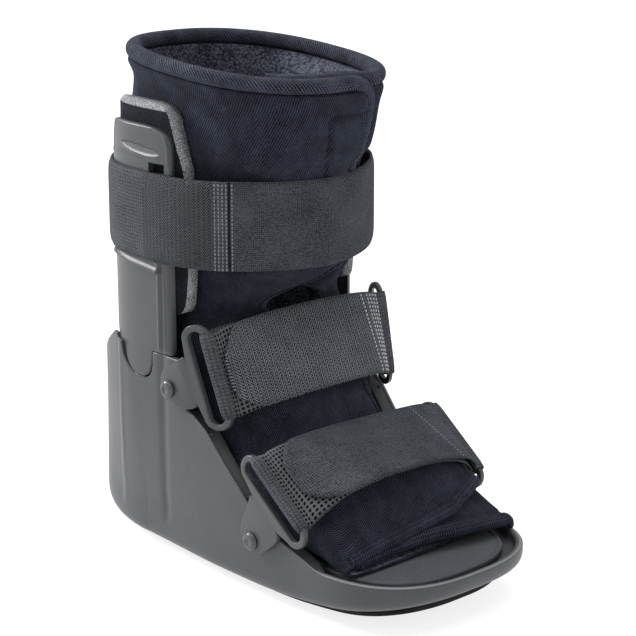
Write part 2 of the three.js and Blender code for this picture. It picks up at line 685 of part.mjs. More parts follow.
const ringPlace = ({ slot, ahead, centre }, a, b) =>
  centre.clone().addScaledVector(slot, a).addScaledVector(ahead, b);

// Inner face of a ring: its ear is flat on the shell, and ahead of a bend line the ring leans inwards
function ringSeatX(ring) {
  const frame = ringFrame(ring);
  const rivet = ringPlace(frame, 0, -ring.rivet * frame.earReach);
  return shellSideX(rivet.y, up(ring.seatZ)) + CLEARANCE;
}

const ringLean = (ring, y) => ring.lean * Math.max(0, along(ring.bend) - y);
const ringInnerX = (ring, y) => ringSeatX(ring) - ringLean(ring, y);
const BEND_OVERLAP = 0.05;

function bendPlate(solid, ring) {
  if (ring.lean === 0) return toGeometry(solid);
  const ahead = (edge) => {
    const box = new THREE.BoxGeometry(4 * LEG_HALF_WIDTH, SOLE_LENGTH, 2 * BOOT_HEIGHT);
    return toSolid(box.translate(0, edge - SOLE_LENGTH / 2, 0));
  };
  const loop = toGeometry(solid.intersect(ahead(along(ring.bend) + BEND_OVERLAP)));
  const place = loop.attributes.position;
  for (let i = 0; i < place.count; i += 1) place.setX(i, place.getX(i) + ringLean(ring, place.getY(i)));
  return toGeometry(solid.subtract(ahead(along(ring.bend))).add(toSolid(loop)));
}

function makeRing(ring) {
  const frame = ringFrame(ring);
  const [half, bar] = [RING_SLOT_LENGTH / 2, RING_SLOT_WIDTH / 2 + RING_BAR];
  const straight = half + RING_BAR - bar;
  const shape = new THREE.Shape();
  shape.moveTo(-straight, -bar);
  shape.absarc(-straight, 0, bar, -Math.PI / 2, Math.PI / 2, true);
  shape.lineTo(straight, bar);
  shape.absarc(straight, 0, bar, Math.PI / 2, -Math.PI / 2, true);
  for (const row of EAR_OUTLINE) shape.lineTo(row.slot * half, -Math.max(bar, row.back * frame.earReach));
  const inner = RING_SLOT_WIDTH / 2;
  const hole = new THREE.Path();
  hole.moveTo(-half + inner, -inner);
  hole.lineTo(half - inner, -inner);
  hole.absarc(half - inner, 0, inner, -Math.PI / 2, Math.PI / 2, false);
  hole.lineTo(-half + inner, inner);
  hole.absarc(-half + inner, 0, inner, Math.PI / 2, -Math.PI / 2, false);
  shape.holes.push(hole);
  const settings = { depth: RING_THICKNESS, bevelEnabled: false, curveSegments: 6 };
  const plate = new THREE.ExtrudeGeometry(shape, settings);
  const place = plate.attributes.position;
  for (let i = 0; i < place.count; i += 1) {
    const point = ringPlace(frame, place.getX(i), place.getY(i));
    place.setXYZ(i, -ringSeatX(ring) - place.getZ(i), point.y, point.z);
  }
  return bendPlate(toSolid(plate), ring);
}

// Rivet head with a dimple: shares of its radius and its height
const RIVET_PROFILE = [
  { across: 0, high: 0 },
  { across: 1, high: 0 },
  { across: 0.85, high: 0.7 },
  { across: 0.5, high: 1 },
  { across: 0.3, high: 0.75 },
  { across: 0, high: 0.7 },
];
const RIVET_SIDES = 14;

function makeRivet(ring) {
  const corner = (row) => new THREE.Vector2(row.across * RIVET_RADIUS, row.high * RIVET_HEIGHT);
  const rivet = new THREE.LatheGeometry(RIVET_PROFILE.map(corner), RIVET_SIDES);
  rivet.rotateZ(Math.PI / 2);
  const frame = ringFrame(ring);
  const centre = ringPlace(frame, (RIVET_SLOT_SHARE * RING_SLOT_LENGTH) / 2, -ring.rivet * frame.earReach);
  rivet.translate(-ringInnerX(ring, centre.y) - RING_THICKNESS - CLEARANCE, centre.y, centre.z);
  return toGeometry(toSolid(rivet));
}

for (const [name, ring] of Object.entries(RINGS)) {
  const [plate, rivet] = [makeRing(ring), makeRivet(ring)];
  addNode(`${name}_ring_right`, plate, "plastic");
  addNode(`${name}_ring_left`, mirrored(plate), "plastic");
  addNode(`${name}_rivet_right`, rivet, "plastic");
  addNode(`${name}_rivet_left`, mirrored(rivet), "plastic");
}

// Folded straps: a tail, a fold round the right ring's front bar, a base layer over the instep, a fold round
// the left ring's front bar, and a top layer back to a rounded tip. crown, tilt and rise are shares of the
// strap's width, and tip is a share of the way from the middle to the right ring
const STRAPS = {
  ankle: { ring: RINGS.ankle, crown: 0.396, tilt: 0.156, rise: 0.094, tip: -0.98 },
  toe: { ring: RINGS.toe, crown: 0.458, tilt: 0.2, rise: 0.079, tip: -0.9 },
};
const TAIL_STEPS = 4;
const FOLD_STEPS = 6;
const LAYER_STEPS = 14;
const TIP_STEPS = 4;
const TIP_LENGTH = 20;
const TIP_BLUNTNESS = 0.93;

// Share of the tail that comes down from the base layer to the level of the fold
const TAIL_SETTLING = 0.8;

// Shares of the way from the middle to a ring: where the tail, the layers and the hump end, and where the
// top layer starts to rise from the base layer towards its fold
const TAIL_START = 0.7;
const TAIL_END = 0.97;
const LAYER_REACH = 0.98;
const HUMP_REACH = 0.92;
const LIFT_START = 0.4;
const HUMP_FLATNESS = 2.4;
const HUMP_ROUNDNESS = 0.6;

const strapBarX = (ring) => ringInnerX(ring, along(ring.y)) + RING_THICKNESS / 2;

// Centre line of a folded strap: place across the boot, height over the rings, and share of the full hump
function strapPath(strap) {
  const barB = (RING_SLOT_WIDTH + RING_BAR) / 2;
  const bar = Math.hypot(RING_THICKNESS, RING_BAR) / 2 + CLEARANCE + STRAP_THICKNESS / 2;
  const barX = strapBarX(strap.ring);
  const layer = STRAP_THICKNESS + STRAP_LAYER_GAP;
  const hump = (x) => (1 - Math.min(1, Math.abs(x) / (HUMP_REACH * barX)) ** HUMP_FLATNESS) ** HUMP_ROUNDNESS;
  const crown = strap.crown * STRAP_WIDTH - layer - STRAP_THICKNESS / 2 - barB;
  const base = (x) => barB - (bar * x) / barX + crown * hump(x);
  const slope = (x) => (base(x + 1) - base(x - 1)) / 2;
  const tipEnd = strap.tip * barX;
  const tipStart = tipEnd + TIP_LENGTH;
  const topPlaces = [];
  for (let i = 0; i < LAYER_STEPS; i += 1) topPlaces.push(mix(LAYER_REACH * barX, tipStart, i / LAYER_STEPS));
  for (let i = 0; i <= TIP_STEPS; i += 1) {
    topPlaces.push(tipStart - TIP_LENGTH * Math.sin(radians((90 * i) / TIP_STEPS)));
  }
  const path = [];
  for (let i = 0; i <= TAIL_STEPS; i += 1) {
    const x = -mix(TAIL_START, TAIL_END, i / TAIL_STEPS) * barX;
    const settled = smooth(i / (TAIL_SETTLING * TAIL_STEPS));
    path.push({ x, b: mix(base(x) - layer, barB - bar, settled), hump: hump(x) });
  }
  for (let i = 1; i < FOLD_STEPS; i += 1) {
    const turn = radians(-90 - (180 * i) / FOLD_STEPS);
    path.push({ x: -barX + bar * Math.cos(turn), b: barB + bar * Math.sin(turn), hump: 0 });
  }
  for (let i = 0; i <= LAYER_STEPS; i += 1) {
    const x = mix(-LAYER_REACH, LAYER_REACH, i / LAYER_STEPS) * barX;
    path.push({ x, b: base(x), hump: hump(x) });
  }
  for (let i = 1; i < FOLD_STEPS; i += 1) {
    const turn = radians(-90 + (180 * i) / FOLD_STEPS);
    path.push({ x: barX + bar * Math.cos(turn), b: barB + bar * Math.sin(turn), hump: 0 });
  }
  for (const x of topPlaces) {
    const clear = layer * Math.hypot(1, slope(x));
    const lift = Math.max(clear, mix(layer, 2 * bar, smooth((x / barX - LIFT_START) / (1 - LIFT_START))));
    const past = clamp((tipStart - x) / TIP_LENGTH);
    path.push({ x, b: base(x) + lift, hump: hump(x), past });
  }
  return path;
}

function makeStrap(strap) {
  const frame = ringFrame(strap.ring);
  const path = strapPath(strap);
  const half = STRAP_WIDTH / 2;
  const barX = strapBarX(strap.ring);
  const loops = path.map((point, i) => {
    const [before, after] = [path[Math.max(0, i - 1)], path[Math.min(path.length - 1, i + 1)]];
    const length = Math.hypot(after.x - before.x, after.b - before.b);
    const normal = { x: -(after.b - before.b) / length, b: (after.x - before.x) / length };
    const reach = half * Math.sqrt(1 - (TIP_BLUNTNESS * (point.past ?? 0)) ** 2);
    const corner = (a, face) => {
      const tilt = 2 * strap.tilt * a * point.hump;
      const b = point.b + tilt + face * normal.b * (STRAP_THICKNESS / 2);
      const place = ringPlace(frame, a - strap.rise * STRAP_WIDTH * point.hump, b);
      const side = clamp(point.x / barX, -1, 1) * (1 - point.hump);
      const lean = side * strap.ring.lean * (place.y - along(strap.ring.y));
      return place.setX(point.x + lean + face * normal.x * (STRAP_THICKNESS / 2));
    };
    const across = [-reach, 0, reach];
    return [...across.map((a) => corner(a, 1)), ...across.reverse().map((a) => corner(a, -1))];
  });
  return loft(loops);
}

for (const [name, strap] of Object.entries(STRAPS)) addNode(`${name}_strap`, makeStrap(strap), "webbing");

export default boot;
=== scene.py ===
# Medical walking boot, right foot: the visible surfaces over the fixed frame.
# Shapes are worked out in millimetres and made into meshes in metres. Toe to -Y, +Z up, wearer's right -X.
import math

import bmesh
import bpy
import numpy as np
from mathutils import Matrix, Vector


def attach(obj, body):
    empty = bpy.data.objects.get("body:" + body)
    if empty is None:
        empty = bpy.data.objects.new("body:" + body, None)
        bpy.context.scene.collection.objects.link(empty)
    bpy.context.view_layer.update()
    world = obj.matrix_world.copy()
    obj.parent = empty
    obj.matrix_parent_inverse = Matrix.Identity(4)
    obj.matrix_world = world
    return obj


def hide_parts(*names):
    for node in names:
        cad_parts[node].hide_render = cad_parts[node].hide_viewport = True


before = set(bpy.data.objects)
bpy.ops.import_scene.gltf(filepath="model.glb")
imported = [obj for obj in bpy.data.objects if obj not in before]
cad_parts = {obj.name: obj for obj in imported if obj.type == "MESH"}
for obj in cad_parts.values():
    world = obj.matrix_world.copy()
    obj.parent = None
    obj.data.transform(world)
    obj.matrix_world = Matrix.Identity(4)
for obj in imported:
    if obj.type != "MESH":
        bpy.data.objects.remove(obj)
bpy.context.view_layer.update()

MM = 0.001

# Driving sizes, the same as the solids'
LENGTH = 292.0
HEIGHT = 292.0
FOREFOOT_HALF = 64.5
HEEL_HALF = 60.0
LEG_HALF_WIDTH = 72.5
LEG_HALF_DEPTH = 73.0
GAP = 0.35
TREAD_THICKNESS = 5.0
TREAD_INSET = 14.0
SHELL_WALL = 4.0
SHELL_FLOOR_Z = 24.0
RIM_Z = 30.0
RIM_RECESS = 6.5
FOOTBED_THICKNESS = 4.0
UPRIGHT_THICKNESS = 3.6
PAD_THICKNESS = 9.8
LINER_THICKNESS = 8.0
BINDING_WIDTH = 9.4
BINDING_HEIGHT = 8.4
BINDING_GAP = 0.03
CALF_STRAP_WIDTH = 49.0
CALF_STRAP_THICKNESS = 2.5
STRAP_WIDTH = 48.0
STRAP_THICKNESS = 1.8
STRAP_LAYER_GAP = 0.5
RING_THICKNESS = 3.2
RING_BAR = 3.6
RING_SLOT_WIDTH = 9.4
RING_SLOT_LENGTH = 53.0
RIVET_RADIUS = 5.2
RIVET_HEIGHT = 2.4


def along(share):
    return np.multiply(share, LENGTH)


def up(share):
    return np.multiply(share, HEIGHT)


def mix(a, b, t):
    return a + (b - a) * t


def smooth(t):
    t = np.clip(t, 0, 1)
    return t * t * (3 - 2 * t)


def power(value, exponent):
    return np.sign(value) * np.abs(value) ** exponent


def hill(value, centre, width):
    return np.exp(-(((value - centre) / width) ** 2))


def unit(vectors):
    return vectors / np.maximum(np.linalg.norm(vectors, axis=-1, keepdims=True), 1e-9)


def spline(xs, ys, at):
    """Smooth curve through table points that never overshoots them. ys may hold several columns."""
    xs = np.asarray(xs, float)
    ys = np.asarray(ys, float).reshape(len(xs), -1)
    step = np.diff(xs)[:, None]
    rise = np.diff(ys, axis=0) / step
    slope = np.zeros_like(ys)
    same = rise[:-1] * rise[1:] > 0
    weighted = 2 * rise[:-1] * rise[1:] / np.where(same, rise[:-1] + rise[1:], 1)
    slope[1:-1] = np.where(same, weighted, 0)
    slope[0] = rise[0]
    slope[-1] = rise[-1]
    k = np.clip(np.searchsorted(xs, at, side="right") - 1, 0, len(xs) - 2)
    t = np.clip((at - xs[k]) / step[k, 0], 0, 1)[:, None]
    h = step[k]
    return (
        ys[k] * (1 + 2 * t) * (1 - t) ** 2
        + slope[k] * h * t * (1 - t) ** 2
        + ys[k + 1] * t * t * (3 - 2 * t)
        + slope[k + 1] * h * t * t * (t - 1)
    )


def waves(points, size, seed):
    """Soft irregular relief from -1 to 1: sums of sines in seeded directions."""
    chance = np.random.RandomState(seed)
    total = np.zeros(points.shape[:-1])
    for _ in range(9):
        direction = unit(chance.normal(size=3))
        pitch = size * chance.uniform(0.6, 1.6)
        total += np.sin(points @ direction * (2 * math.pi / pitch) + chance.uniform(0, 2 * math.pi))
    return total / 9 * 1.8


# Mesh building


def quads(rows, columns, wrap_rows=False, wrap_columns=False, start=0):
    i, j = np.meshgrid(
        np.arange(rows if wrap_rows else rows - 1),
        np.arange(columns if wrap_columns else columns - 1),
        indexing="ij",
    )
    a = start + i * columns + j
    b = start + i * columns + (j + 1) % columns
    c = start + ((i + 1) % rows) * columns + (j + 1) % columns
    d = start + ((i + 1) % rows) * columns + j
    return np.stack([a, b, c, d], -1).reshape(-1, 4)


def shown(name, points, faces, materials, weave=None, face_material=None, stands_for=()):
    """A named piece on the boot's one body, from points in millimetres.

    weave gives each point's length and width on the cloth, in millimetres.
    """
    mesh = bpy.data.meshes.new(name)
    mesh.from_pydata((np.asarray(points, float) * MM).tolist(), [], [list(map(int, f)) for f in faces])
    if weave is not None:
        layer = mesh.uv_layers.new(name="weave")
        corner = np.empty(len(mesh.loops), int)
        mesh.loops.foreach_get("vertex_index", corner)
        layer.uv.foreach_set("vector", (np.asarray(weave, float) * MM)[corner].astype(np.float32).ravel())
    for material in materials:
        mesh.materials.append(material)
    if face_material is not None:
        mesh.polygons.foreach_set("material_index", np.asarray(face_material, np.int32))
    mesh.polygons.foreach_set("use_smooth", np.ones(len(mesh.polygons), bool))
    weld(mesh)
    mesh.validate()
    face_outwards(mesh)
    piece = bpy.data.objects.new(name, mesh)
    bpy.context.scene.collection.objects.link(piece)
    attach(piece, "root")
    if stands_for:
        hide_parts(*stands_for)
    return piece


def weld(mesh):
    """Points that lie on one another made one, so that the surface shades smoothly across the middle."""
    work = bmesh.new()
    work.from_mesh(mesh)
    bmesh.ops.remove_doubles(work, verts=work.verts, dist=1e-6)
    work.to_mesh(mesh)
    work.free()


def face_outwards(mesh):
    mesh.calc_loop_triangles()
    corner = np.empty(3 * len(mesh.loop_triangles), int)
    mesh.loop_triangles.foreach_get("vertices", corner)
    place = np.empty(3 * len(mesh.vertices))
    mesh.vertices.foreach_get("co", place)
    a, b, c = place.reshape(-1, 3)[corner.reshape(-1, 3)].transpose(1, 0, 2)
    if (a * np.cross(b, c)).sum() < 0:
        mesh.flip_normals()


def thick_sheet(outside, inside):
    """Points and faces of cloth between two grids, closed round its four edges."""
    rows, columns = outside.shape[:2]
    points = np.concatenate([outside.reshape(-1, 3), inside.reshape(-1, 3)])
    back = rows * columns
    front_faces = quads(rows, columns)
    back_faces = quads(rows, columns, start=back)[:, ::-1]
    index = np.arange(back).reshape(rows, columns)
    edge = np.concatenate([index[0, :-1], index[:-1, -1], index[-1, :0:-1], index[:0:-1, 0]])
    following = np.roll(edge, -1)
    rim = np.stack([edge, edge + back, following + back, following], -1)
    return points, np.concatenate([front_faces, back_faces, rim])


def tube(loops, closed=False):
    """Points and faces of a tube through loops of equal length, with its ends closed unless it is a ring."""
    loops = np.asarray(loops)
    rows, columns = loops.shape[:2]
    faces = [list(f) for f in quads(rows, columns, wrap_rows=closed, wrap_columns=True)]
    if not closed:
        faces.append(list(range(columns))[::-1])
        faces.append(list(range((rows - 1) * columns, rows * columns)))
    return loops.reshape(-1, 3), faces


def stitches(name, places, ahead, outward, long, wide, proud, material):
    """Short stitches: an eased bead at each place, lying along ahead and standing out along outward."""
    sideways = unit(np.cross(outward, ahead))
    turn = np.linspace(0, 2 * math.pi, 6, endpoint=False)
    points = []
    faces = []
    for share, swell in ((-0.5, 0.35), (-0.3, 0.9), (0.3, 0.9), (0.5, 0.35)):
        ring = (
            places[:, None]
            + ahead[:, None] * (share * long)
            + sideways[:, None] * (np.cos(turn) * swell * wide / 2)[:, None]
            + outward[:, None] * (np.sin(turn) * swell * proud)[:, None]
        )
        points.append(ring)
    points = np.stack(points, 1)
    for start in range(0, 24 * len(places), 24):
        faces += (quads(4, 6, wrap_columns=True) + start).tolist()
        faces.append(list(range(start, start + 6))[::-1])
        faces.append(list(range(start + 18, start + 24)))
    return shown(name, points.reshape(-1, 3), faces, [material])


def ladder(rows_start, half, flip=False):
    """Faces across a loop of 2 * half points whose first and last pair up across the boot."""
    size = 2 * half
    j = np.arange(half - 1)
    faces = np.stack([j, size - 1 - j, size - 2 - j, j + 1], -1) + rows_start
    return faces[:, ::-1] if flip else faces


# Materials


class Surface:
    """A node material under construction, with short calls for its nodes."""

    def __init__(self, name, roughness, sheen=0.0, specular=0.5):
        self.material = bpy.data.materials.new(name)
        self.material.use_nodes = True
        self.tree = self.material.node_tree
        self.shader = self.tree.nodes["Principled BSDF"]
        self.shader.inputs["Roughness"].default_value = roughness
        self.shader.inputs["Specular IOR Level"].default_value = specular
        self.shader.inputs["Sheen Weight"].default_value = sheen
        self.shader.inputs["Sheen Roughness"].default_value = 0.6
        self.shader.inputs["Sheen Tint"].default_value = (0.75, 0.8, 1, 1)
        self.height = None

    def node(self, kind, **settings):
        made = self.tree.nodes.new(kind)
        for key, value in settings.items():
            setattr(made, key, value)
        return made

    def feed(self, socket, value):
        if isinstance(value, bpy.types.NodeSocket):
            self.tree.links.new(value, socket)
        else:
            socket.default_value = value

    def math(self, operation, *values, clamp=False):
        made = self.node("ShaderNodeMath", operation=operation, use_clamp=clamp)
        for socket, value in zip(made.inputs, values):
            self.feed(socket, value)
        return made.outputs[0]

    def place(self):
        return self.node("ShaderNodeTexCoord").outputs["Object"]

    def weave(self):
        """Length and width along the cloth, in metres."""
        split = self.node("ShaderNodeSeparateXYZ")
        self.feed(split.inputs[0], self.node("ShaderNodeUVMap", uv_map="weave").outputs[0])
        return split.outputs[0], split.outputs[1]

    def noise(self, scale, detail=2.0, roughness=0.5, vector=None):
        made = self.node("ShaderNodeTexNoise")
        self.feed(made.inputs["Vector"], vector or self.place())
        made.inputs["Scale"].default_value = scale
        made.inputs["Detail"].default_value = detail
        made.inputs["Roughness"].default_value = roughness
        return made.outputs[0]

    def cells(self, scale):
        made = self.node("ShaderNodeTexVoronoi")
        self.feed(made.inputs["Vector"], self.place())
        made.inputs["Scale"].default_value = scale
        return made.outputs["Distance"]

    def wave(self, length, pitch, phase=0.0):
        """Sine from 0 to 1 along a length in metres."""
        turn = self.math("MULTIPLY_ADD", length, 2 * math.pi / pitch, phase)
        return self.math("MULTIPLY_ADD", self.math("SINE", turn), 0.5, 0.5)

    def blend(self, share, low, high):
        made = self.node("ShaderNodeMix", data_type="RGBA")
        self.feed(made.inputs[0], share)
        for socket, value in ((made.inputs[6], low), (made.inputs[7], high)):
            self.feed(socket, value if isinstance(value, bpy.types.NodeSocket) else (*value, 1))
        return made.outputs[2]

    def spread(self, value, low, high):
        """value from low to high made 0 to 1."""
        made = self.node("ShaderNodeMapRange")
        self.feed(made.inputs[0], value)
        made.inputs[1].default_value = low
        made.inputs[2].default_value = high
        return made.outputs[0]

    def colour(self, value):
        self.feed(self.shader.inputs["Base Color"], value)

    def bump(self, height, distance, strength=1.0):
        made = self.node("ShaderNodeBump")
        made.inputs["Strength"].default_value = strength
        made.inputs["Distance"].default_value = distance
        self.feed(made.inputs["Height"], height)
        if self.height is not None:
            self.feed(made.inputs["Normal"], self.height)
        self.height = made.outputs[0]
        self.feed(self.shader.inputs["Normal"], self.height)

    def rough(self, value):
        self.feed(self.shader.inputs["Roughness"], value)


def tone(value, blue=1.1):
    """Linear colour of a screen grey from 0 to 255, tinted towards blue."""
    linear = (value / 255) ** 2.2
    return (linear * blue**-0.35, linear, linear * blue)


def moulded_plastic(name, roughness, dark, light):
    made = Surface(name, roughness, specular=0.36)
    fine = made.noise(2600, 3, 0.6)
    broad = made.noise(22, 3)
    shade = made.math("MULTIPLY_ADD", made.spread(fine, 0.3, 0.7), 0.65, made.math("MULTIPLY", broad, 0.45))
    made.colour(made.blend(made.spread(shade, 0.1, 1.0), dark, light))
    made.rough(made.math("MULTIPLY_ADD", broad, 0.14, roughness - 0.07))
    made.bump(made.noise(1500, 3, 0.65), 0.00012, 0.5)
    return made.material


def sole_rubber():
    made = Surface("sole_rubber", 0.85, specular=0.2)
    dust = made.noise(60, 4)
    made.colour(made.blend(made.spread(dust, 0.4, 0.75), tone(28), tone(46)))
    made.bump(made.noise(900, 3), 0.0002, 0.5)
    return made.material


def insole_foam():
    made = Surface("insole_foam", 0.75, specular=0.2)
    fine = made.noise(1900, 3, 0.7)
    made.colour(made.blend(made.spread(fine, 0.3, 0.7), tone(54, 1.15), tone(92, 1.12)))
    made.bump(fine, 0.00025, 0.6)
    return made.material


def open_foam():
    made = Surface("open_foam", 0.95, specular=0.05)
    specks = made.noise(1600, 2, 0.75)
    made.colour(made.blend(made.spread(specks, 0.4, 0.62), tone(64), tone(172, 1.05)))
    made.bump(made.noise(800, 2, 0.7), 0.0006, 0.7)
    return made.material


def twill(name, dark, light, pitch, slant=0.35, relief=0.00022, fuzz=0.0):
    """Diagonal ribs across a woven cloth, with uneven threads and small patches of wear."""
    made = Surface(name, 0.9, sheen=0.05, specular=0.05)
    length, width = made.weave()
    wander = made.math("MULTIPLY_ADD", made.noise(260, 3), pitch * 0.35, length)
    slanted = made.math("MULTIPLY_ADD", width, slant, wander)
    ribs = made.wave(slanted, pitch)
    threads = made.wave(width, pitch * 0.62)
    relief_map = made.math("MULTIPLY_ADD", threads, 0.35, ribs)
    patchy = made.noise(95, 4, 0.6)
    speck = made.noise(1150, 2, 0.8)
    shade = made.math("MULTIPLY_ADD", relief_map, 0.42, made.math("MULTIPLY", speck, 0.8))
    shade = made.math("MULTIPLY_ADD", patchy, 0.7, made.math("SUBTRACT", shade, 0.48))
    made.colour(made.blend(made.spread(shade, 0.3, 1.0), dark, light))
    made.bump(relief_map, relief)
    if fuzz:
        made.bump(made.noise(1300, 3, 0.7), fuzz)
    return made.material


def terry(name, dark, light):
    """Looped lining: small soft knots all over."""
    made = Surface(name, 0.95, sheen=0.05, specular=0.05)
    knots = made.cells(620)
    patchy = made.noise(70, 4)
    shade = made.math("MULTIPLY_ADD", patchy, 0.7, made.math("MULTIPLY", knots, 0.6))
    made.colour(made.blend(made.spread(shade, 0.3, 0.85), light, dark))
    made.bump(made.math("SUBTRACT", 1.0, knots), 0.0007, 0.8)
    return made.material


def loop_cloth(name, dark, light, grain=0.00115):
    """Flat loop fabric of the straps: a plain fine weave with a brushed nap."""
    made = Surface(name, 0.88, sheen=0.05, specular=0.05)
    length, width = made.weave()
    warp = made.wave(length, grain)
    weft = made.wave(width, grain)
    checks = made.math("MULTIPLY", warp, weft)
    speck = made.noise(1150, 2, 0.8)
    patchy = made.noise(60, 3)
    shade = made.math("MULTIPLY_ADD", checks, 0.28, made.math("MULTIPLY", speck, 1.0))
    shade = made.math("MULTIPLY_ADD", patchy, 0.3, shade)
    made.colour(made.blend(made.spread(shade, 0.5, 0.95), dark, light))
    made.bump(checks, 0.00018)
    made.bump(made.noise(1500, 3, 0.7), 0.00015)
    return made.material


def herringbone(name, dark, light, column, pitch, relief):
    """Zigzag twill of the straps' hook side: ribs that change their slant from column to column."""
    made = Surface(name, 0.8, sheen=0.05, specular=0.12)
    length, width = made.weave()
    folded = made.math("PINGPONG", length, column / 2)
    slanted = made.math("MULTIPLY_ADD", folded, 1.15, width)
    ribs = made.wave(slanted, pitch)
    ridge = made.wave(length, column / 2, -math.pi / 2)
    relief_map = made.math("MULTIPLY_ADD", ridge, 0.22, ribs)
    speck = made.noise(1150, 2, 0.8)
    patchy = made.noise(60, 3)
    shade = made.math("MULTIPLY_ADD", relief_map, 0.55, made.math("MULTIPLY", speck, 0.8))
    shade = made.math("MULTIPLY_ADD", patchy, 0.2, shade)
    made.colour(made.blend(made.spread(shade, 0.6, 1.15), dark, light))
    made.bump(relief_map, relief)
    return made.material


def open_mesh(name, dark, light, pitch):
    """Open mesh webbing: light round threads round dark holes."""
    made = Surface(name, 0.8, specular=0.12)
    length, width = made.weave()
    holes = made.math("MULTIPLY", made.wave(length, pitch), made.wave(width, pitch))
    made.colour(made.blend(made.spread(holes, 0.18, 0.42), light, dark))
    made.bump(made.math("SUBTRACT", 1.0, holes), 0.0005)
    return made.material


def thread(name, dark, light):
    made = Surface(name, 0.7, specular=0.1)
    made.colour(made.blend(made.noise(1800, 2), dark, light))
    made.bump(made.noise(3200, 2), 0.0001)
    return made.material


PLASTIC = moulded_plastic("moulded_plastic", 0.42, tone(48), tone(80))
RING_PLASTIC = moulded_plastic("ring_plastic", 0.34, tone(52), tone(80))
# Lighter plastic for thin edge strips: a painted highlight along the shell's slanted rim and round the rings'
# slots.
HIGHLIGHT_EDGE = moulded_plastic("painted_highlight_edge", 0.38, tone(92), tone(122))
STUD = moulded_plastic("polished_stud", 0.27, tone(66), tone(86))
RUBBER = sole_rubber()
INSOLE = insole_foam()
FOAM = open_foam()
CLOTH = twill("liner_twill", tone(12, 1.5), tone(64, 1.5), 0.0015, relief=0.00028, fuzz=0.00012)
BINDING = twill("binding_twill", tone(20, 1.4), tone(88, 1.35), 0.0019, slant=0.85, relief=0.0005)
LINING = terry("looped_lining", tone(42, 1.35), tone(106, 1.3))
PAD_CLOTH = twill("pad_cloth", tone(8, 1.3), tone(42, 1.3), 0.0013, relief=0.0002, fuzz=0.0001)
LOOP = loop_cloth("loop_cloth", tone(30, 1.18), tone(82, 1.18))
TAPE = loop_cloth("plain_tape", tone(40, 1.12), tone(86, 1.12), grain=0.0019)
# One hook tape cloth in two copies: the calf strap's is darker, painted shade, and the ankle strap's lighter,
# painted light; their zigzag sizes also differ a little.
HOOK_SHADED = herringbone("hook_herringbone_painted_shade", tone(4, 1.15), tone(90, 1.12), 0.0056, 0.0016, 0.0005)
HOOK_LIT = herringbone("hook_herringbone_fine_painted_light", tone(10, 1.15), tone(116, 1.12), 0.0058, 0.0018, 0.0004)
PLAIN = loop_cloth("plain_weave", tone(28, 1.18), tone(88, 1.15), grain=0.0014)
MESH = open_mesh("open_mesh_webbing", tone(12, 1.2), tone(84, 1.1), 0.0025)
SEAM = loop_cloth("dark_seam", tone(12, 1.2), tone(30, 1.2))
STITCH = thread("stitch_thread", tone(98, 1.1), tone(132, 1.08))
STITCH_LIGHT = thread("stitch_thread_light", tone(150, 1.05), tone(196, 1.03))


# Shell outline: half loops from the middle of the heel, round one side, to the middle of the toe

HEEL_Y = along(0.205)
TOE_Y = along(-0.291)
SHELL_TOP_Z = up(0.448)
SHELL_LEG_HALF = LEG_HALF_WIDTH - CALF_STRAP_THICKNESS + GAP
SHELL_LEG_REACH = along(0.25)
HEEL_SQUARENESS = 2.05
LEG_BACK_SQUARENESS = 1.9
TOE_SQUARENESS = 2.6
SIDE_START = 82.0

STATION_Y = along([0.205, 0.161, 0.127, 0.07, 0.05, 0.027, -0.007, -0.055, -0.123, -0.195, -0.25, -0.291])
STATION_WIDTH = [0.932, 0.945, 0.957, 0.978, 0.985, 0.993, 1, 1.006, 1.01, 1.01, 1.003, 1]
STATION_LEG = [1, 1, 1, 1, 0.98, 0.95, 0.9, 0.8, 0.6, 0.4, 0.2, 0.1]

WALL_TOP_Y = along([
    -0.6, -0.3, -0.264, -0.195, -0.123, -0.055, -0.007, 0.027, 0.048,
    0.0505, 0.264, 0.27, 0.285, 0.33, 0.38, 0.43, 0.6,
])
WALL_TOP_Z = up([
    0.1027, 0.1027, 0.116, 0.14, 0.182, 0.247, 0.301, 0.325, 0.332,
    0.4265, 0.4265, 0.4345, 0.436, 0.408, 0.37, 0.35, 0.345,
])
TONGUE_Z = up([0.372, 0.378, 0.39, 0.404, 0.4265])
TONGUE_FRONT = along([0.169, 0.157, 0.149, 0.144, 0.141])
TONGUE_BACK = along([0.199, 0.213, 0.227, 0.236, 0.242])
TONGUE_GAP = 1.5 * GAP

HEEL_SHARES = np.linspace(0, 1, 44, endpoint=False)
SIDE_Y = np.unique(
    np.round(
        np.concatenate(
            [
                np.linspace(SIDE_START, TOE_Y, 150),
                TONGUE_FRONT - TONGUE_GAP,
                TONGUE_BACK + TONGUE_GAP,
                WALL_TOP_Y[(WALL_TOP_Y < SIDE_START) & (WALL_TOP_Y > TOE_Y)],
            ]
        ),
        3,
    )
)[::-1]
TOE_TURNS = np.radians(np.linspace(0, 90, 41)[1:])
HALF_COLUMNS = len(HEEL_SHARES) + len(SIDE_Y) + len(TOE_TURNS)


def rocker_z(y):
    flat_front = along(-0.13)
    flat_back = along(0.24)
    toe = np.clip((flat_front - y) / (LENGTH / 2 + flat_front), 0, 1)
    heel = np.clip((y - flat_back) / (LENGTH / 2 - flat_back), 0, 1)
    return 13.5 * toe**1.8 + 7 * heel**2


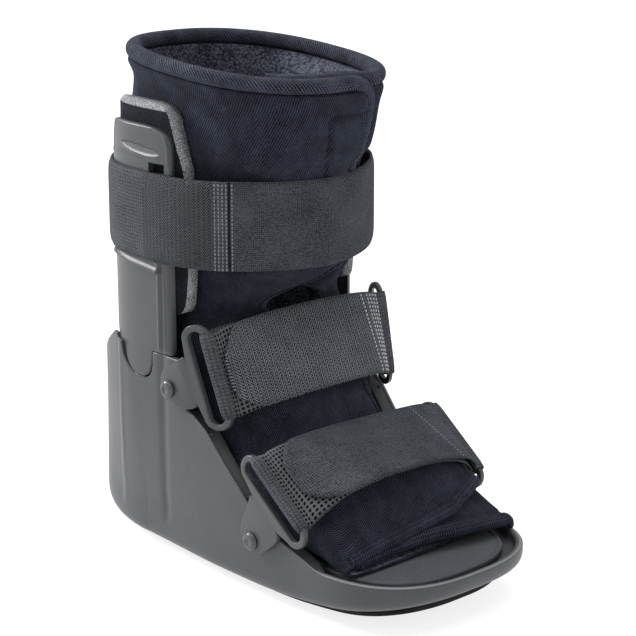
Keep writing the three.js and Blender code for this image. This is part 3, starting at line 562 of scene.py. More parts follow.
def half_outline(inset, climb):
    """X and Y of a half outline at each column.

    inset and climb hold one value a row, or one a row and column.
    """
    inset = np.broadcast_to(inset, (np.shape(inset)[0], HALF_COLUMNS))
    climb = np.broadcast_to(climb, inset.shape)
    reach = mix(LENGTH / 2 - HEEL_Y, SHELL_LEG_REACH, climb) - inset
    half = mix(HEEL_HALF, SHELL_LEG_HALF, climb) - inset
    square = mix(HEEL_SQUARENESS, LEG_BACK_SQUARENESS, climb)
    heel = slice(0, len(HEEL_SHARES))
    side = slice(len(HEEL_SHARES), len(HEEL_SHARES) + len(SIDE_Y))
    toe = slice(len(HEEL_SHARES) + len(SIDE_Y), None)
    last = np.arccos(((SIDE_START - HEEL_Y) / reach[:, heel]) ** (square[:, heel] / 2))
    turn = HEEL_SHARES * last
    bend = 2 / square[:, heel]
    heel_x = half[:, heel] * np.sin(turn) ** bend
    heel_y = HEEL_Y + reach[:, heel] * np.cos(turn) ** bend
    side_y = np.broadcast_to(SIDE_Y, inset[:, side].shape)
    share = np.clip((side_y - HEEL_Y) / reach[:, side], 0, 1) ** square[:, side]
    round_x = half[:, side] * (1 - share) ** (1 / square[:, side])
    table = spline(-STATION_Y, np.stack([STATION_WIDTH, STATION_LEG], -1), -np.clip(SIDE_Y, TOE_Y, HEEL_Y))
    wide = mix(table[:, 0] * FOREFOOT_HALF, SHELL_LEG_HALF, climb[:, side] * table[:, 1]) - inset[:, side]
    side_x = np.where(side_y > HEEL_Y, round_x, wide)
    bend = 2 / TOE_SQUARENESS
    toe_x = (FOREFOOT_HALF - inset[:, toe]) * np.cos(TOE_TURNS) ** bend
    toe_y = TOE_Y - (LENGTH / 2 + TOE_Y - inset[:, toe]) * np.sin(TOE_TURNS) ** bend
    return (
        np.concatenate([heel_x, side_x, toe_x], 1),
        np.concatenate([heel_y, side_y, toe_y], 1),
    )


def climb_at(z):
    share = np.clip((z - RIM_Z) / (SHELL_TOP_Z - RIM_Z), 0, 1)
    return share + 0.12 * np.sin(math.pi * share)


def full_loops(x, y, z):
    """Closed loops from half loops: one side, then the other side backwards."""
    near = np.stack([x, y, z], -1)
    far = np.stack([-x, y, z], -1)[:, ::-1]
    return np.concatenate([near, far], 1)


def wall_top():
    """Height of the wall's top edge at each column, with the notches for the uprights' tongues."""
    _, y = half_outline(np.zeros((1, 1)), np.ones((1, 1)))
    y = y[0]
    top = np.interp(y, WALL_TOP_Y, WALL_TOP_Z)
    edge_y = np.concatenate([TONGUE_FRONT[::-1] - TONGUE_GAP, TONGUE_BACK + TONGUE_GAP])
    edge_z = np.concatenate([TONGUE_Z[::-1], TONGUE_Z]) - TONGUE_GAP
    edge_z[[0, -1]] = SHELL_TOP_Z
    notch = np.interp(y, edge_y, edge_z, left=HEIGHT, right=HEIGHT)
    return np.maximum(np.minimum(top, notch), RIM_Z)


CREASE_Z = [15, 40, 60, 80, 100, 120, 130]
CREASE_Y = [43, 41.5, 38.5, 36, 34, 32.5, 32]
ARRIS_Y = [87, 85, 81.5, 78.5, 75.5, 73.5, 72]


def crease(y, z):
    """How far the shell's side steps in at a soft crease, and at an arris that falls away to the heel."""
    tall = smooth((z - 16) / 12)
    first = 1.0 * hill(y, np.interp(z, CREASE_Z, CREASE_Y), 3.2)
    past = y - np.interp(z, CREASE_Z, ARRIS_Y)
    second = 1.5 * smooth(past / 5) * smooth((36 - past) / 26) - 0.35 * hill(past, -1, 2)
    return (first + second) * tall


# Section over the wall's top edge: inset from the outside, and drop below the top
PLAIN_EDGE = np.array([
    (0, 1.1), (0.08, 0.68), (0.32, 0.32), (0.68, 0.08), (1.1, 0), (2.0, 0),
    (2.9, 0), (3.32, 0.08), (3.68, 0.32), (3.92, 0.68), (4.0, 1.1), (4.0, 1.8),
])
TRIM_EDGE = np.array([
    (0, 1.1), (-0.25, 0.6), (-0.1, 0.1), (0.4, -0.1), (0.95, 0.05), (1.3, 0.9),
    (1.6, 1.7), (2.4, 1.9), (5.0, 1.4), (8.4, 1.0), (9.8, 1.5), (9.9, 3.0),
])


def trim_share(y):
    """Where the slanted front edges carry their sunk trim strip."""
    return smooth((15 - y) / 5) * smooth((y + 92) / 12)


def make_shell():
    top = wall_top()[None, :]
    edge_inset = np.array([11, 8.6, 6.4, 4.5, 3.0, 1.9, 1.1, 0.5, 0.15, 0])[:, None]
    edge_rise = np.array([0, 0.22, 0.6, 1.2, 2.1, 3.2, 4.5, 6.0, 7.6, 9.2])[:, None]
    x, y = half_outline(edge_inset, np.zeros((1, 1)))
    base = rocker_z(y) + TREAD_THICKNESS + GAP
    loops = [full_loops(x, y, base + edge_rise)]
    low = base[-1] + edge_rise[-1]
    rise = np.linspace(0, 1, 56)[1:, None]
    corner = PLAIN_EDGE[0, 1]
    z_edge = np.maximum(top, low + corner + 0.2)
    z = mix(low, z_edge - corner, rise)
    x, y = half_outline(np.zeros((len(rise), 1)), climb_at(z))
    loops.append(full_loops(x - crease(y, z), y, z))
    _, edge_y = half_outline(np.zeros((1, 1)), climb_at(z_edge))
    share = trim_share(edge_y)
    for (inset, drop), (trim_inset, trim_drop) in zip(PLAIN_EDGE[1:], TRIM_EDGE[1:]):
        z = z_edge - mix(drop, trim_drop, share)
        x, y = half_outline(mix(inset, trim_inset, share), climb_at(z))
        loops.append(full_loops(x - crease(y, z) * (1 - inset / SHELL_WALL), y, z))
    fall = np.linspace(0, 1, 24)[1:, None]
    z_inside = z
    z = mix(z_inside, SHELL_FLOOR_Z + 2.5, fall)
    flange = share * (TRIM_EDGE[-1, 0] - SHELL_WALL) * smooth(1 - (z_inside - z) / 4)
    x, y = half_outline(SHELL_WALL + flange, climb_at(z))
    loops.append(full_loops(x, y, z))
    turn = np.radians(np.linspace(0, 90, 5))[1:, None]
    x, y = half_outline(SHELL_WALL + 2.5 * (1 - np.cos(turn)), np.zeros((1, 1)))
    loops.append(full_loops(x, y, np.broadcast_to(SHELL_FLOOR_Z + 2.5 * (1 - np.sin(turn)), x.shape)))
    points = np.concatenate(loops)
    rows = len(points)
    faces = np.concatenate(
        [
            quads(rows, 2 * HALF_COLUMNS, wrap_columns=True),
            ladder(0, HALF_COLUMNS),
            ladder((rows - 1) * 2 * HALF_COLUMNS, HALF_COLUMNS, flip=True),
        ]
    )
    row = np.repeat(np.arange(rows - 1), 2 * HALF_COLUMNS)
    lip_row = len(loops[0]) + len(rise)
    middle_y = (points[:-1, :, 1] + points[1:, :, 1]).ravel() / 2
    # The top rows of the slanted front rim take the lighter edge plastic, a painted highlight.
    highlight_on_lip = (row >= lip_row + 1) & (row <= lip_row + 3) & (middle_y < 15)
    face_material = np.concatenate([highlight_on_lip.astype(int), np.zeros(len(faces) - len(row))])
    return shown(
        "boot_shell",
        points.reshape(-1, 3),
        faces,
        [PLASTIC, HIGHLIGHT_EDGE],
        face_material=face_material,
        stands_for=["shell"],
    )


def make_footbed():
    inset = SHELL_WALL + RIM_RECESS
    low = SHELL_FLOOR_Z + GAP
    high = low + FOOTBED_THICKNESS
    turn = np.radians(np.linspace(0, 90, 5))[:, None]
    groove_inset = [[[inset + 1.9]], [[inset + 2.4]], [[inset + 3.1]]]
    rows_inset = np.concatenate([[[inset]], inset + 1 - np.cos(turn), *groove_inset])
    groove_z = [[[high]], [[high - 0.55]], [[high - 0.35]]]
    rows_z = np.concatenate([[[low]], high - 1 + np.sin(turn), *groove_z])
    x, y = half_outline(rows_inset, np.zeros((1, 1)))
    points = full_loops(x, y, np.broadcast_to(rows_z, x.shape))
    rows = len(points)
    faces = np.concatenate(
        [
            quads(rows, 2 * HALF_COLUMNS, wrap_columns=True),
            ladder(0, HALF_COLUMNS),
            ladder((rows - 1) * 2 * HALF_COLUMNS, HALF_COLUMNS, flip=True),
        ]
    )
    points = points.reshape(-1, 3)
    piece = shown("insole_plate", points, faces, [INSOLE], stands_for=["footbed"])
    return piece


# Tread: cross sections from the toe to the heel, with grooves where the section is cut deeper

GROOVE_DEPTH = 1.6
GROOVE_WIDTH = 3.0
GROOVE_PITCH = 17.0
GROOVE_MIDDLE_Y = along(0.06)


def make_tread():
    x, y = half_outline(np.array([[TREAD_INSET]]), np.zeros((1, 1)))
    groove_y = GROOVE_MIDDLE_Y + (np.arange(6) - 2.5) * GROOVE_PITCH
    edges = np.concatenate([
        groove_y + side * GROOVE_WIDTH / 2 + nudge for side in (-1, 1) for nudge in (-0.05, 0.05)
    ])
    stations = np.unique(np.concatenate([y[0, 2:-2:2], edges]))
    order = np.argsort(y[0])
    half = np.interp(stations, y[0][order], x[0][order])
    in_groove = (np.abs(stations[:, None] - groove_y).min(1) < GROOVE_WIDTH / 2).astype(float)
    low = rocker_z(stations) + GROOVE_DEPTH * in_groove
    high = rocker_z(stations) + TREAD_THICKNESS
    corner = np.array([[1.0, 0.0], [0.45, 0.12], [0.12, 0.45], [0.0, 1.0]]) * 1.5
    right = [(half - c[0], low + c[1] * (1 - 0.6 * in_groove)) for c in corner]
    side = [*right, (half, high)]
    ring = [np.stack([a, stations, b], -1) for a, b in side]
    mirror = [np.stack([-a, stations, b], -1) for a, b in side[::-1]]
    loops = np.stack(ring + mirror, 1)
    points, faces = tube(loops)
    return shown("tread_sole", points, faces, [RUBBER], stands_for=["tread"])


# Leg ring that the calf strap takes, and what lies inside it

LEG_CENTRE_Y = along(0.15)


def leg_x(y, inset):
    share = np.clip(np.abs(y - LEG_CENTRE_Y) / (LEG_HALF_DEPTH - inset), 0, 1)
    return (LEG_HALF_WIDTH - inset) * (1 - share**3) ** (1 / 1.5)


def leg_ring(turn, inset):
    """Points of the leg ring. turn runs from the back, round the right side, the front and the left side."""
    y = LEG_CENTRE_Y + (LEG_HALF_DEPTH - inset) * np.cos(turn)
    x = -np.sign(np.sin(turn)) * leg_x(y, inset)
    return np.stack([x, y], -1)


UPRIGHT_ROWS = np.array(
    [
        [0.372, 0.169, 0.199],
        [0.378, 0.157, 0.213],
        [0.39, 0.149, 0.227],
        [0.404, 0.144, 0.236],
        [0.4265, 0.141, 0.242],
        [0.4276, 0.141, 0.242],
        [0.4285, 0.086, 0.272],
        [0.45, 0.086, 0.282],
        [0.6, 0.086, 0.286],
        [0.787, 0.0815, 0.284],
        [0.827, 0.083, 0.278],
        [0.846, 0.089, 0.27],
        [0.8565, 0.108, 0.266],
        [0.861, 0.13, 0.262],
        [0.863, 0.16, 0.25],
    ]
)
UPRIGHT_INSET = CALF_STRAP_THICKNESS + GAP


STRAP_LOW_Z = 177.5
STRAP_HIGH_Z = 228.5
LENS_Y = along(0.17)
LENS_Z = up(0.8165)
LENS_HALF_LENGTH = along(0.06)
LENS_SLOPE = 0.08


def upright_relief(y, z, margin):
    """Height of the raised and sunk forms on the outside of an upright.

    margin is the way in from the upright's outline.
    """
    from_front = y - along(0.086)
    below_slot = smooth((up(0.745) - z) / 4) * smooth((z - up(0.43)) / 3)
    # front margin rounded back, with a raised line, a groove and another line behind it
    rolled = -2.7 * (1 - np.sqrt(np.clip(1 - np.clip(1 - from_front / 3.4, 0, 1) ** 2, 0, 1)))
    lines = 0.6 * hill(from_front, 5.1, 1.0) - 0.7 * hill(from_front, 7.2, 1.2)
    lines += 0.5 * hill(from_front, 10.1, 0.9)
    relief = (rolled + lines) * below_slot
    # ledge below the calf strap, with a rounded front end
    ledge_z = 171.0 + 3.6 * np.clip((y - 33) / 42, 0, 1)
    below = z - ledge_z
    ledge = np.where(below < 0, smooth(1 + below / 1.6), smooth(1 - below / 3.4))
    relief += 2.0 * ledge * smooth((y - 31) / 3)
    relief += 0.35 * smooth(below / 2) * smooth((y - 31) / 3) * smooth((STRAP_HIGH_Z + 8 - z) / 4)
    # lens-shaped recess: deep and abrupt along its upper edge, rising to a lip along the lower one
    centre_z = LENS_Z + LENS_SLOPE * (y - LENS_Y)
    reach = np.sqrt(np.clip(1 - ((y - LENS_Y) / LENS_HALF_LENGTH) ** 2, 0, 1))
    depth = (z - centre_z) / np.maximum(2.3 * reach, 0.05)
    relief -= 1.5 * np.clip((depth + 1) / 2, 0, 1) * smooth((1.12 - depth) / 0.2) * reach
    relief += 0.5 * hill(z, centre_z - 2.9 * reach, 0.8) * reach
    # thin raised rim round the top
    relief += 0.4 * hill(margin, 1.7, 0.7) * smooth((z - STRAP_HIGH_Z - 2) / 3)
    covered = smooth((z - STRAP_LOW_Z + 1) / 1) * smooth((STRAP_HIGH_Z + 1 - z) / 1)
    return mix(relief, np.minimum(relief, 0.25), covered)


def make_upright(sign, name, node):
    z_share = np.concatenate([np.linspace(0, 1, 130), np.clip((UPRIGHT_ROWS[:, 0] - 0.372) / 0.491, 0, 1)])
    lens_z = np.arange(LENS_Z - 6, LENS_Z + 7, 0.3)
    ledge_z = np.arange(168, 179.5, 0.4)
    z = np.unique(np.round(np.concatenate([up(0.372 + 0.491 * z_share), lens_z, ledge_z]), 3))
    front = np.interp(z, up(UPRIGHT_ROWS[:, 0]), along(UPRIGHT_ROWS[:, 1]))
    back = np.interp(z, up(UPRIGHT_ROWS[:, 0]), along(UPRIGHT_ROWS[:, 2]))
    head = UPRIGHT_ROWS[UPRIGHT_ROWS[:, 0] > 0.78]
    rounded_head = spline(up(head[:, 0]), along(head[:, 1:]), z)
    front = np.where(z > up(head[0, 0]), rounded_head[:, 0], front)
    back = np.where(z > up(head[0, 0]), rounded_head[:, 1], back)
    share = np.linspace(0, 1, 96)
    y = mix(back[:, None], front[:, None], share)
    zz = np.broadcast_to(z[:, None], y.shape)
    margin = np.minimum(np.minimum(y - front[:, None], back[:, None] - y), (z[-1] - zz) * 1.2)
    rounding = 0.7 * (1 - np.sqrt(np.clip(1 - (1 - np.clip(margin / 1.6, 0, 1)) ** 2, 0, 1)))
    outer_x = leg_x(y, UPRIGHT_INSET) + upright_relief(y, zz, margin) - rounding
    inner_x = leg_x(y, UPRIGHT_INSET) - UPRIGHT_THICKNESS + np.zeros(y.shape)
    outside = np.stack([sign * outer_x, y, zz], -1)
    inside = np.stack([sign * inner_x, y, zz], -1)
    points, faces = thick_sheet(outside, inside)
    piece = shown(name, points, faces, [PLASTIC], stands_for=[node])
    slot_cut(piece, sign)
    return piece


def slot_cut(piece, sign):
    """The rectangular slot through an upright, beside the strap's upper edge."""
    low = Vector((sign * 40 * MM, along(0.097) * MM, up(0.775) * MM))
    high = Vector((sign * 90 * MM, along(0.14) * MM, up(0.795) * MM))
    mesh = bpy.data.meshes.new("slot")
    corners = [(x, y, z) for x in (low.x, high.x) for y in (low.y, high.y) for z in (low.z, high.z)]
    sides = [(0, 1, 3, 2), (4, 6, 7, 5), (0, 4, 5, 1), (2, 3, 7, 6), (0, 2, 6, 4), (1, 5, 7, 3)]
    mesh.from_pydata(corners, [], sides)
    face_outwards(mesh)
    cutter = bpy.data.objects.new("slot", mesh)
    bpy.context.scene.collection.objects.link(cutter)
    modifier = piece.modifiers.new("slot", "BOOLEAN")
    modifier.object = cutter
    modifier.operation = "DIFFERENCE"
    modifier.solver = "EXACT"
    keep_result(piece)
    bpy.data.objects.remove(cutter)


def keep_result(piece):
    """The piece's modifiers made part of its mesh."""
    graph = bpy.context.evaluated_depsgraph_get()
    mesh = bpy.data.meshes.new_from_object(piece.evaluated_get(graph))
    piece.modifiers.clear()
    piece.data = mesh


PAD_ROWS = np.array(
    [
        [0.507, 0.088, 0.225],
        [0.513, 0.074, 0.245],
        [0.53, 0.065, 0.265],
        [0.6, 0.058, 0.278],
        [0.775, 0.064, 0.28],
        [0.825, 0.079, 0.284],
        [0.863, 0.092, 0.285],
        [0.888, 0.101, 0.284],
        [0.898, 0.116, 0.279],
        [0.903, 0.15, 0.262],
    ]
)
PAD_INSET = UPRIGHT_INSET + UPRIGHT_THICKNESS + GAP
LINER_HALF = LEG_HALF_WIDTH - PAD_INSET - PAD_THICKNESS - GAP


def make_pad(sign, name, node):
    """Foam slab with cloth on its outer face; the cut edges and the inner face show the foam."""
    rows = np.unique(np.concatenate([np.linspace(0.507, 0.903, 110), PAD_ROWS[:, 0]]))
    z = up(rows)
    edges = spline(PAD_ROWS[:, 0], along(PAD_ROWS[:, 1:]), rows)
    share = np.concatenate([np.linspace(0, 0.8, 30, endpoint=False), np.linspace(0.8, 1, 26)])
    y = mix(edges[:, 1:2], edges[:, 0:1], share)
    zz = np.broadcast_to(z[:, None], y.shape)
    from_back = edges[:, 1:2] - y
    cut = 1.8 * np.clip(1 - (z[-1] - zz) / 2.6, 0, 1) * smooth((zz - up(0.8)) / 6)
    margin = np.minimum(from_back, zz - z[0])
    soft = 0.9 * (1 - smooth(margin / 2.4))
    covered = cut < 0.05
    uneven = 0.25 * waves(np.stack([y, zz, zz], -1), 30, 11)
    outer_x = leg_x(y, PAD_INSET) - soft - cut - np.where(covered, 0, 0.6) + uneven
    inner_x = np.maximum(leg_x(y, PAD_INSET) - PAD_THICKNESS, LINER_HALF + GAP) + soft
    inner_x = np.minimum(inner_x, outer_x - 0.8)
    outside = np.stack([sign * outer_x, y, zz], -1)
    inside = np.stack([sign * inner_x, y, zz], -1)
    points, faces = thick_sheet(outside, inside)
    count = quads(len(rows), len(share)).shape[0]
    bare = ~(covered[:-1, :-1] & covered[1:, :-1] & covered[:-1, 1:] & covered[1:, 1:])
    face_material = np.concatenate([bare.ravel().astype(int), np.ones(len(faces) - count)])
    weave = np.stack([points[:, 1], points[:, 2]], -1)
    piece = shown(
        name,
        points,
        faces,
        [PAD_CLOTH, FOAM],
        weave=weave,
        face_material=face_material,
        stands_for=[node],
    )
    return piece


# Liner: one section a row, from the collar down the leg and along the foot to the toe
# A section runs through a front point (fy, fz) and a back or sole point (by, bz), given as shares of the
# boot's length and height. half is its half width and drop how much lower its one side lies. front and back
# are the powers that round it, wall its share of the full thickness, and inner and outer the turns in
# degrees at which the two flaps end.

LINER_KEYS = ["fy", "fz", "by", "bz", "half", "drop", "front", "back", "wall", "inner", "outer"]
LINER_ROWS = np.array(
    [
        [-0.138, 0.93, 0.36, 0.973, 1.15, 0.007, 2.4, 2.4, 1, -40, 17],
        [-0.128, 0.89, 0.36, 0.92, 0.99, 0.0035, 3, 2.6, 1, -40, 17],
        [-0.105, 0.81, 0.37, 0.815, 1, 0, 2.9, 2.7, 1, -40, 17],
        [-0.0895, 0.775, 0.375, 0.78, 0.99, 0, 2.5, 2.3, 1, -40, 17],
        [-0.085, 0.608, 0.375, 0.608, 0.99, 0, 2.2, 2.2, 1, -40, 19],
        [-0.078, 0.597, 0.378, 0.58, 1, 0, 2.4, 2.3, 1, -38, 24],
        [-0.045, 0.567, 0.393, 0.525, 1.01, 0, 2.5, 2.3, 1, -18, 12],
        [0, 0.516, 0.415, 0.43, 1.02, 0, 3, 2.3, 1, 14, -12],
        [-0.035, 0.447, 0.43, 0.31, 1.07, 0, 3.2, 2.2, 1, -35, 12],
        [-0.086, 0.375, 0.437, 0.2, 1.045, 0, 3.2, 2.2, 1, -40, 22],
        [-0.113, 0.326, 0.4, 0.118, 1.025, 0, 3, 2.4, 1, -45, 28],
        [-0.14, 0.286, 0.27, 0.101, 1.015, 0, 3, 3.6, 0.95, -50, 35],
        [-0.198, 0.268, 0.1, 0.099, 1.03, 0, 3, 4, 0.85, -52, 42],
        [-0.253, 0.254, -0.1, 0.099, 1.03, 0, 2.9, 4, 0.75, -55, 50],
        [-0.3, 0.236, -0.25, 0.099, 1.02, 0, 2.6, 4, 0.66, -58, 56],
        [-0.33, 0.2, -0.322, 0.099, 1.05, 0, 2.6, 4, 0.54, -60, 62],
        [-0.348, 0.172, -0.363, 0.1, 1.06, 0, 2.6, 4, 0.44, -62, 66],
    ]
)
WRAP_START = 66.0
WRAP_END = 294.0
FLAP_BLEND = 18.0
FLAP_MARGIN = 4.0
COLLAR_SHARE = 0.88
LINER_AT = np.concatenate([np.linspace(0, 3, 49), np.linspace(3, len(LINER_ROWS) - 1, 131)[1:]])
INNER_COLUMNS = 44
WRAP_COLUMNS = 74
OUTER_COLUMNS = 112
CORNER_ROWS = 1.3
CORNER_TURN = 12.0
# Where the outer flap's front end lies on the far side, as a row of the table at each turn
FRONT_TURN = [20, 30, 40, 50, 60, 66]
FRONT_ROW = [16, 15.6, 15.35, 15.1, 14.9, 14.8]


def liner_values(at):
    """The liner's table at fractional rows, as a dict of arrays shaped like at."""
    values = spline(np.arange(len(LINER_ROWS)), LINER_ROWS, np.ravel(at))
    table = {key: values[:, i].reshape(np.shape(at)) for i, key in enumerate(LINER_KEYS)}
    table["at"] = at
    into_corner = np.clip(1 - at / CORNER_ROWS, 0, 1)
    table["outer"] = table["outer"] - CORNER_TURN * (1 - np.sqrt(1 - into_corner**2))
    return table


def liner_turns(table):
    near_end = 1 - (1 - np.linspace(0, 1, OUTER_COLUMNS)) ** 1.5
    near_start = np.linspace(0, 1, INNER_COLUMNS, endpoint=False) ** 1.3
    inner = mix(table["inner"], WRAP_START, near_start)
    wrap = np.linspace(WRAP_START, WRAP_END, WRAP_COLUMNS, endpoint=False)
    outer = mix(WRAP_END, 360 + table["outer"], near_end)
    return np.concatenate([inner, np.broadcast_to(wrap, (len(inner), WRAP_COLUMNS)), outer], 1)


def liner_rows():
    """Row and turn at each grid point.

    The outer flap's rows are drawn back where its front end is cut on the bias.
    """
    all_columns = INNER_COLUMNS + WRAP_COLUMNS + OUTER_COLUMNS
    straight = np.broadcast_to(LINER_AT[:, None], (len(LINER_AT), all_columns))
    turn = liner_turns(liner_values(LINER_AT[:, None]))
    on_flap = np.arange(turn.shape[1]) >= INNER_COLUMNS + WRAP_COLUMNS
    end = np.interp(turn - 360, FRONT_TURN, FRONT_ROW)
    drawn = straight - (16 - end) * smooth((straight - 9) / 7)
    return np.where(on_flap, drawn, straight), turn


def liner_points(table, turn, inset):
    angle = np.radians(turn)
    front = np.stack([np.zeros_like(table["fy"]), along(table["fy"]), up(table["fz"])], -1)
    back = np.stack([np.zeros_like(table["by"]), along(table["by"]), up(table["bz"])], -1)
    reach = np.linalg.norm(front - back, axis=-1) / 2
    forward = unit(front - back)
    bend = 2 / np.where(np.cos(angle) > 0, table["front"], table["back"])
    across = (table["half"] * LINER_HALF - inset) * power(np.sin(angle), bend)
    ahead = (reach - inset) * power(np.cos(angle), bend)
    points = (front + back) / 2 + forward * ahead[..., None]
    points[..., 0] += across
    points[..., 2] -= up(table["drop"]) * np.sin(angle)
    return points


def flap_inset(table, turn):
    collar = table["fz"] > COLLAR_SHARE
    extra = np.where(collar, BINDING_WIDTH - LINER_THICKNESS + 2 * GAP, 4.5 * GAP)
    depth = table["wall"] * LINER_THICKNESS + extra
    return depth * smooth(1 - (turn - table["outer"] - FLAP_MARGIN) / FLAP_BLEND)


LINER_AT_GRID, TURNS = liner_rows()
LINER = liner_values(LINER_AT_GRID)


FOOT_LINE_Z = SHELL_FLOOR_Z + FOOTBED_THICKNESS + GAP + 1
# How much of its height each flap keeps at the toe, at places across the boot
ACROSS_X = [-60, -50, -30, 0, 30, 60]
OUTER_KEEPS = [0.3, 0.3, 0.42, 0.62, 0.86, 1.12]
INNER_KEEPS = [0.25, 0.25, 0.34, 0.48, 0.5, 0.46]


def toe_drop(points):
    """The flaps' front ends settle towards the footbed, and the inner one reaches further on the far side."""
    column = np.arange(TURNS.shape[1])
    on_flap = column >= INNER_COLUMNS + WRAP_COLUMNS
    front = smooth((LINER_AT_GRID - 12.6) / 3.4)
    x = points[..., 0]
    keeps = np.where(on_flap, np.interp(x, ACROSS_X, OUTER_KEEPS), np.interp(x, ACROSS_X, INNER_KEEPS))
    above = np.maximum(points[..., 2] - FOOT_LINE_Z, 0)
    far = smooth((x + 25) / 75) * smooth((140 - TURNS) / 40) * ~on_flap
    points = points.copy()
    points[..., 2] -= above * (1 - keeps) * front
    points[..., 1] -= 11 * smooth((LINER_AT_GRID - 13.4) / 2.6) * far
    return points


def liner_grid(wall_share):
    depth = flap_inset(LINER, TURNS) + wall_share * LINER["wall"] * LINER_THICKNESS
    return toe_drop(liner_points(LINER, TURNS, depth))


def hem(distance, width, proud):
    """Relief of a rolled hem at a free edge: a rounded roll, then a sewn groove."""
    from_crown = (distance - width / 2) / (width / 2)
    roll = proud * np.sqrt(np.clip(1 - from_crown**2, 0, 1)) * (distance < width)
    return roll - 0.9 * hill(distance, width + 0.5, 0.8) - 1.4 * np.clip(1 - distance / 1.2, 0, 1) ** 2


HEM_WIDTH = 5.3
HEM_PROUD = 0.9
BINDING_END_ROW = 4
BINDING_GROOVE = 1.3
PATCH_SIDE_X = -6.4
PATCH_TOP_Z = 258.0
PATCH_LEAN = 0.2


def make_liner():
    outside = liner_grid(0)
    inside = liner_grid(1)
    outward = unit(outside - inside)
    across = np.linalg.norm(np.diff(outside, axis=1), axis=-1)
    from_outer = np.concatenate([np.cumsum(across[:, ::-1], axis=1)[:, ::-1], np.zeros((len(across), 1))], 1)
    from_inner = np.concatenate([np.zeros((len(across), 1)), np.cumsum(across, axis=1)], 1)
    down = np.linalg.norm(np.diff(outside, axis=0), axis=-1)
    from_front = np.concatenate([np.cumsum(down[::-1], axis=0)[::-1], np.zeros((1, down.shape[1]))])
    relief = 0.8 * waves(outside, 46, 3) + 0.3 * waves(outside, 17, 5)
    at = LINER_AT_GRID
    edge_rows = np.minimum(at / 1.2, (at[-1:] - at) / 0.5)
    relief *= smooth(np.minimum(edge_rows, np.minimum(from_outer, from_inner) / 8))
    below_binding = smooth((at - BINDING_END_ROW - 0.1) / 0.2)
    for from_edge in (from_outer, from_inner):
        relief += hem(from_edge, HEM_WIDTH, HEM_PROUD) * below_binding * (from_edge < 12)
    column = np.arange(TURNS.shape[1])
    upper = (column < INNER_COLUMNS + 8) | (column >= INNER_COLUMNS + WRAP_COLUMNS)
    relief -= 0.9 * hill(from_front, 8.6, 1.0) * upper
    from_top = np.concatenate([np.zeros((1, down.shape[1])), np.cumsum(down, axis=0)])
    by_side_binding = np.exp(-((from_outer / 1.8) ** 2)) * (at < BINDING_END_ROW + 0.1)
    relief -= BINDING_GROOVE * (np.exp(-((from_top / 1.8) ** 2)) + by_side_binding)
    # sewn patch beside the outer flap's edge
    x = outside[..., 0]
    z = outside[..., 2]
    on_flap = column >= INNER_COLUMNS + WRAP_COLUMNS
    from_patch_top = PATCH_TOP_Z - z
    from_patch_side = x - PATCH_SIDE_X - PATCH_LEAN * from_patch_top
    patch = smooth(from_patch_side / 0.9) * smooth(from_patch_top / 1.2)
    side_seam = hill(from_patch_side, -0.7, 1.3) * (from_patch_top > 0)
    top_seam = hill(from_patch_top, -0.7, 1.3) * (from_patch_side > 0)
    sewn = 0.8 * patch - 1.5 * (side_seam + top_seam)
    relief += sewn * (at < BINDING_END_ROW) * on_flap * smooth((from_outer - 2) / 2)
    outside = outside + outward * relief[..., None]
    fold = 1.8 * hill(TURNS, 187, 4) - 1.6 * hill(TURNS, 195, 5)
    inside = inside - outward * (fold * smooth((at - 0.2) / 0.4) * smooth((3 - at) / 1))[..., None]
    points, faces = thick_sheet(outside, inside)
    # the cloth's straight lines follow each flap's middle, and its slant grows from the leg to the foot
    near_line = np.array([np.interp(330, t, a) for t, a in zip(TURNS, from_inner)])[:, None]
    far_line = np.array([np.interp(40, t, a) for t, a in zip(TURNS, from_inner)])[:, None]
    around = np.where(column < INNER_COLUMNS, from_inner - far_line, from_inner - near_line)
    slant = 0.75 * smooth((at - 6) / 4)
    around = around + np.concatenate([np.zeros((1, down.shape[1])), np.cumsum(down * slant[1:], axis=0)])
    weave = np.stack([around, from_top], -1).reshape(-1, 2)
    count = quads(*TURNS.shape).shape[0]
    face_material = np.concatenate([np.zeros(count), np.ones(count), np.zeros(len(faces) - 2 * count)])
    weave = np.concatenate([weave, weave])
    faces = [list(f) for f in faces]
    for kept in (slice(INNER_COLUMNS + WRAP_COLUMNS + 2, None), slice(0, INNER_COLUMNS + 16)):
        roll, roll_faces, roll_weaves = toe_roll(outside[:, kept], inside[:, kept])
        faces += [[i + len(points) for i in f] for f in roll_faces]
        points = np.concatenate([points, roll])
        weave = np.concatenate([weave, roll_weaves])
        face_material = np.concatenate([face_material, np.zeros(len(roll_faces))])
    piece = shown(
        "padded_liner",
        points,
        faces,
        [CLOTH, LINING],
        weave=weave,
        face_material=face_material,
        stands_for=["liner"],
    )
    return piece


def roll_loop(edge, outward, away, width, height, sides=20, lift=0.5):
    """Section of a padded roll beyond an edge: flattened oval, its width along outward."""
    angle = 2 * math.pi * (np.arange(sides) + 0.5) / sides - math.pi / 2
    wide = power(np.cos(angle), 0.85) * width / 2
    high = power(np.sin(angle), 0.85) * height / 2
    centre = edge + away * (height * lift)
    return centre + outward * wide[:, None] + away * high[:, None]


TOE_ROLL_WIDTH = 8.0
TOE_ROLL_HEIGHT = 6.4


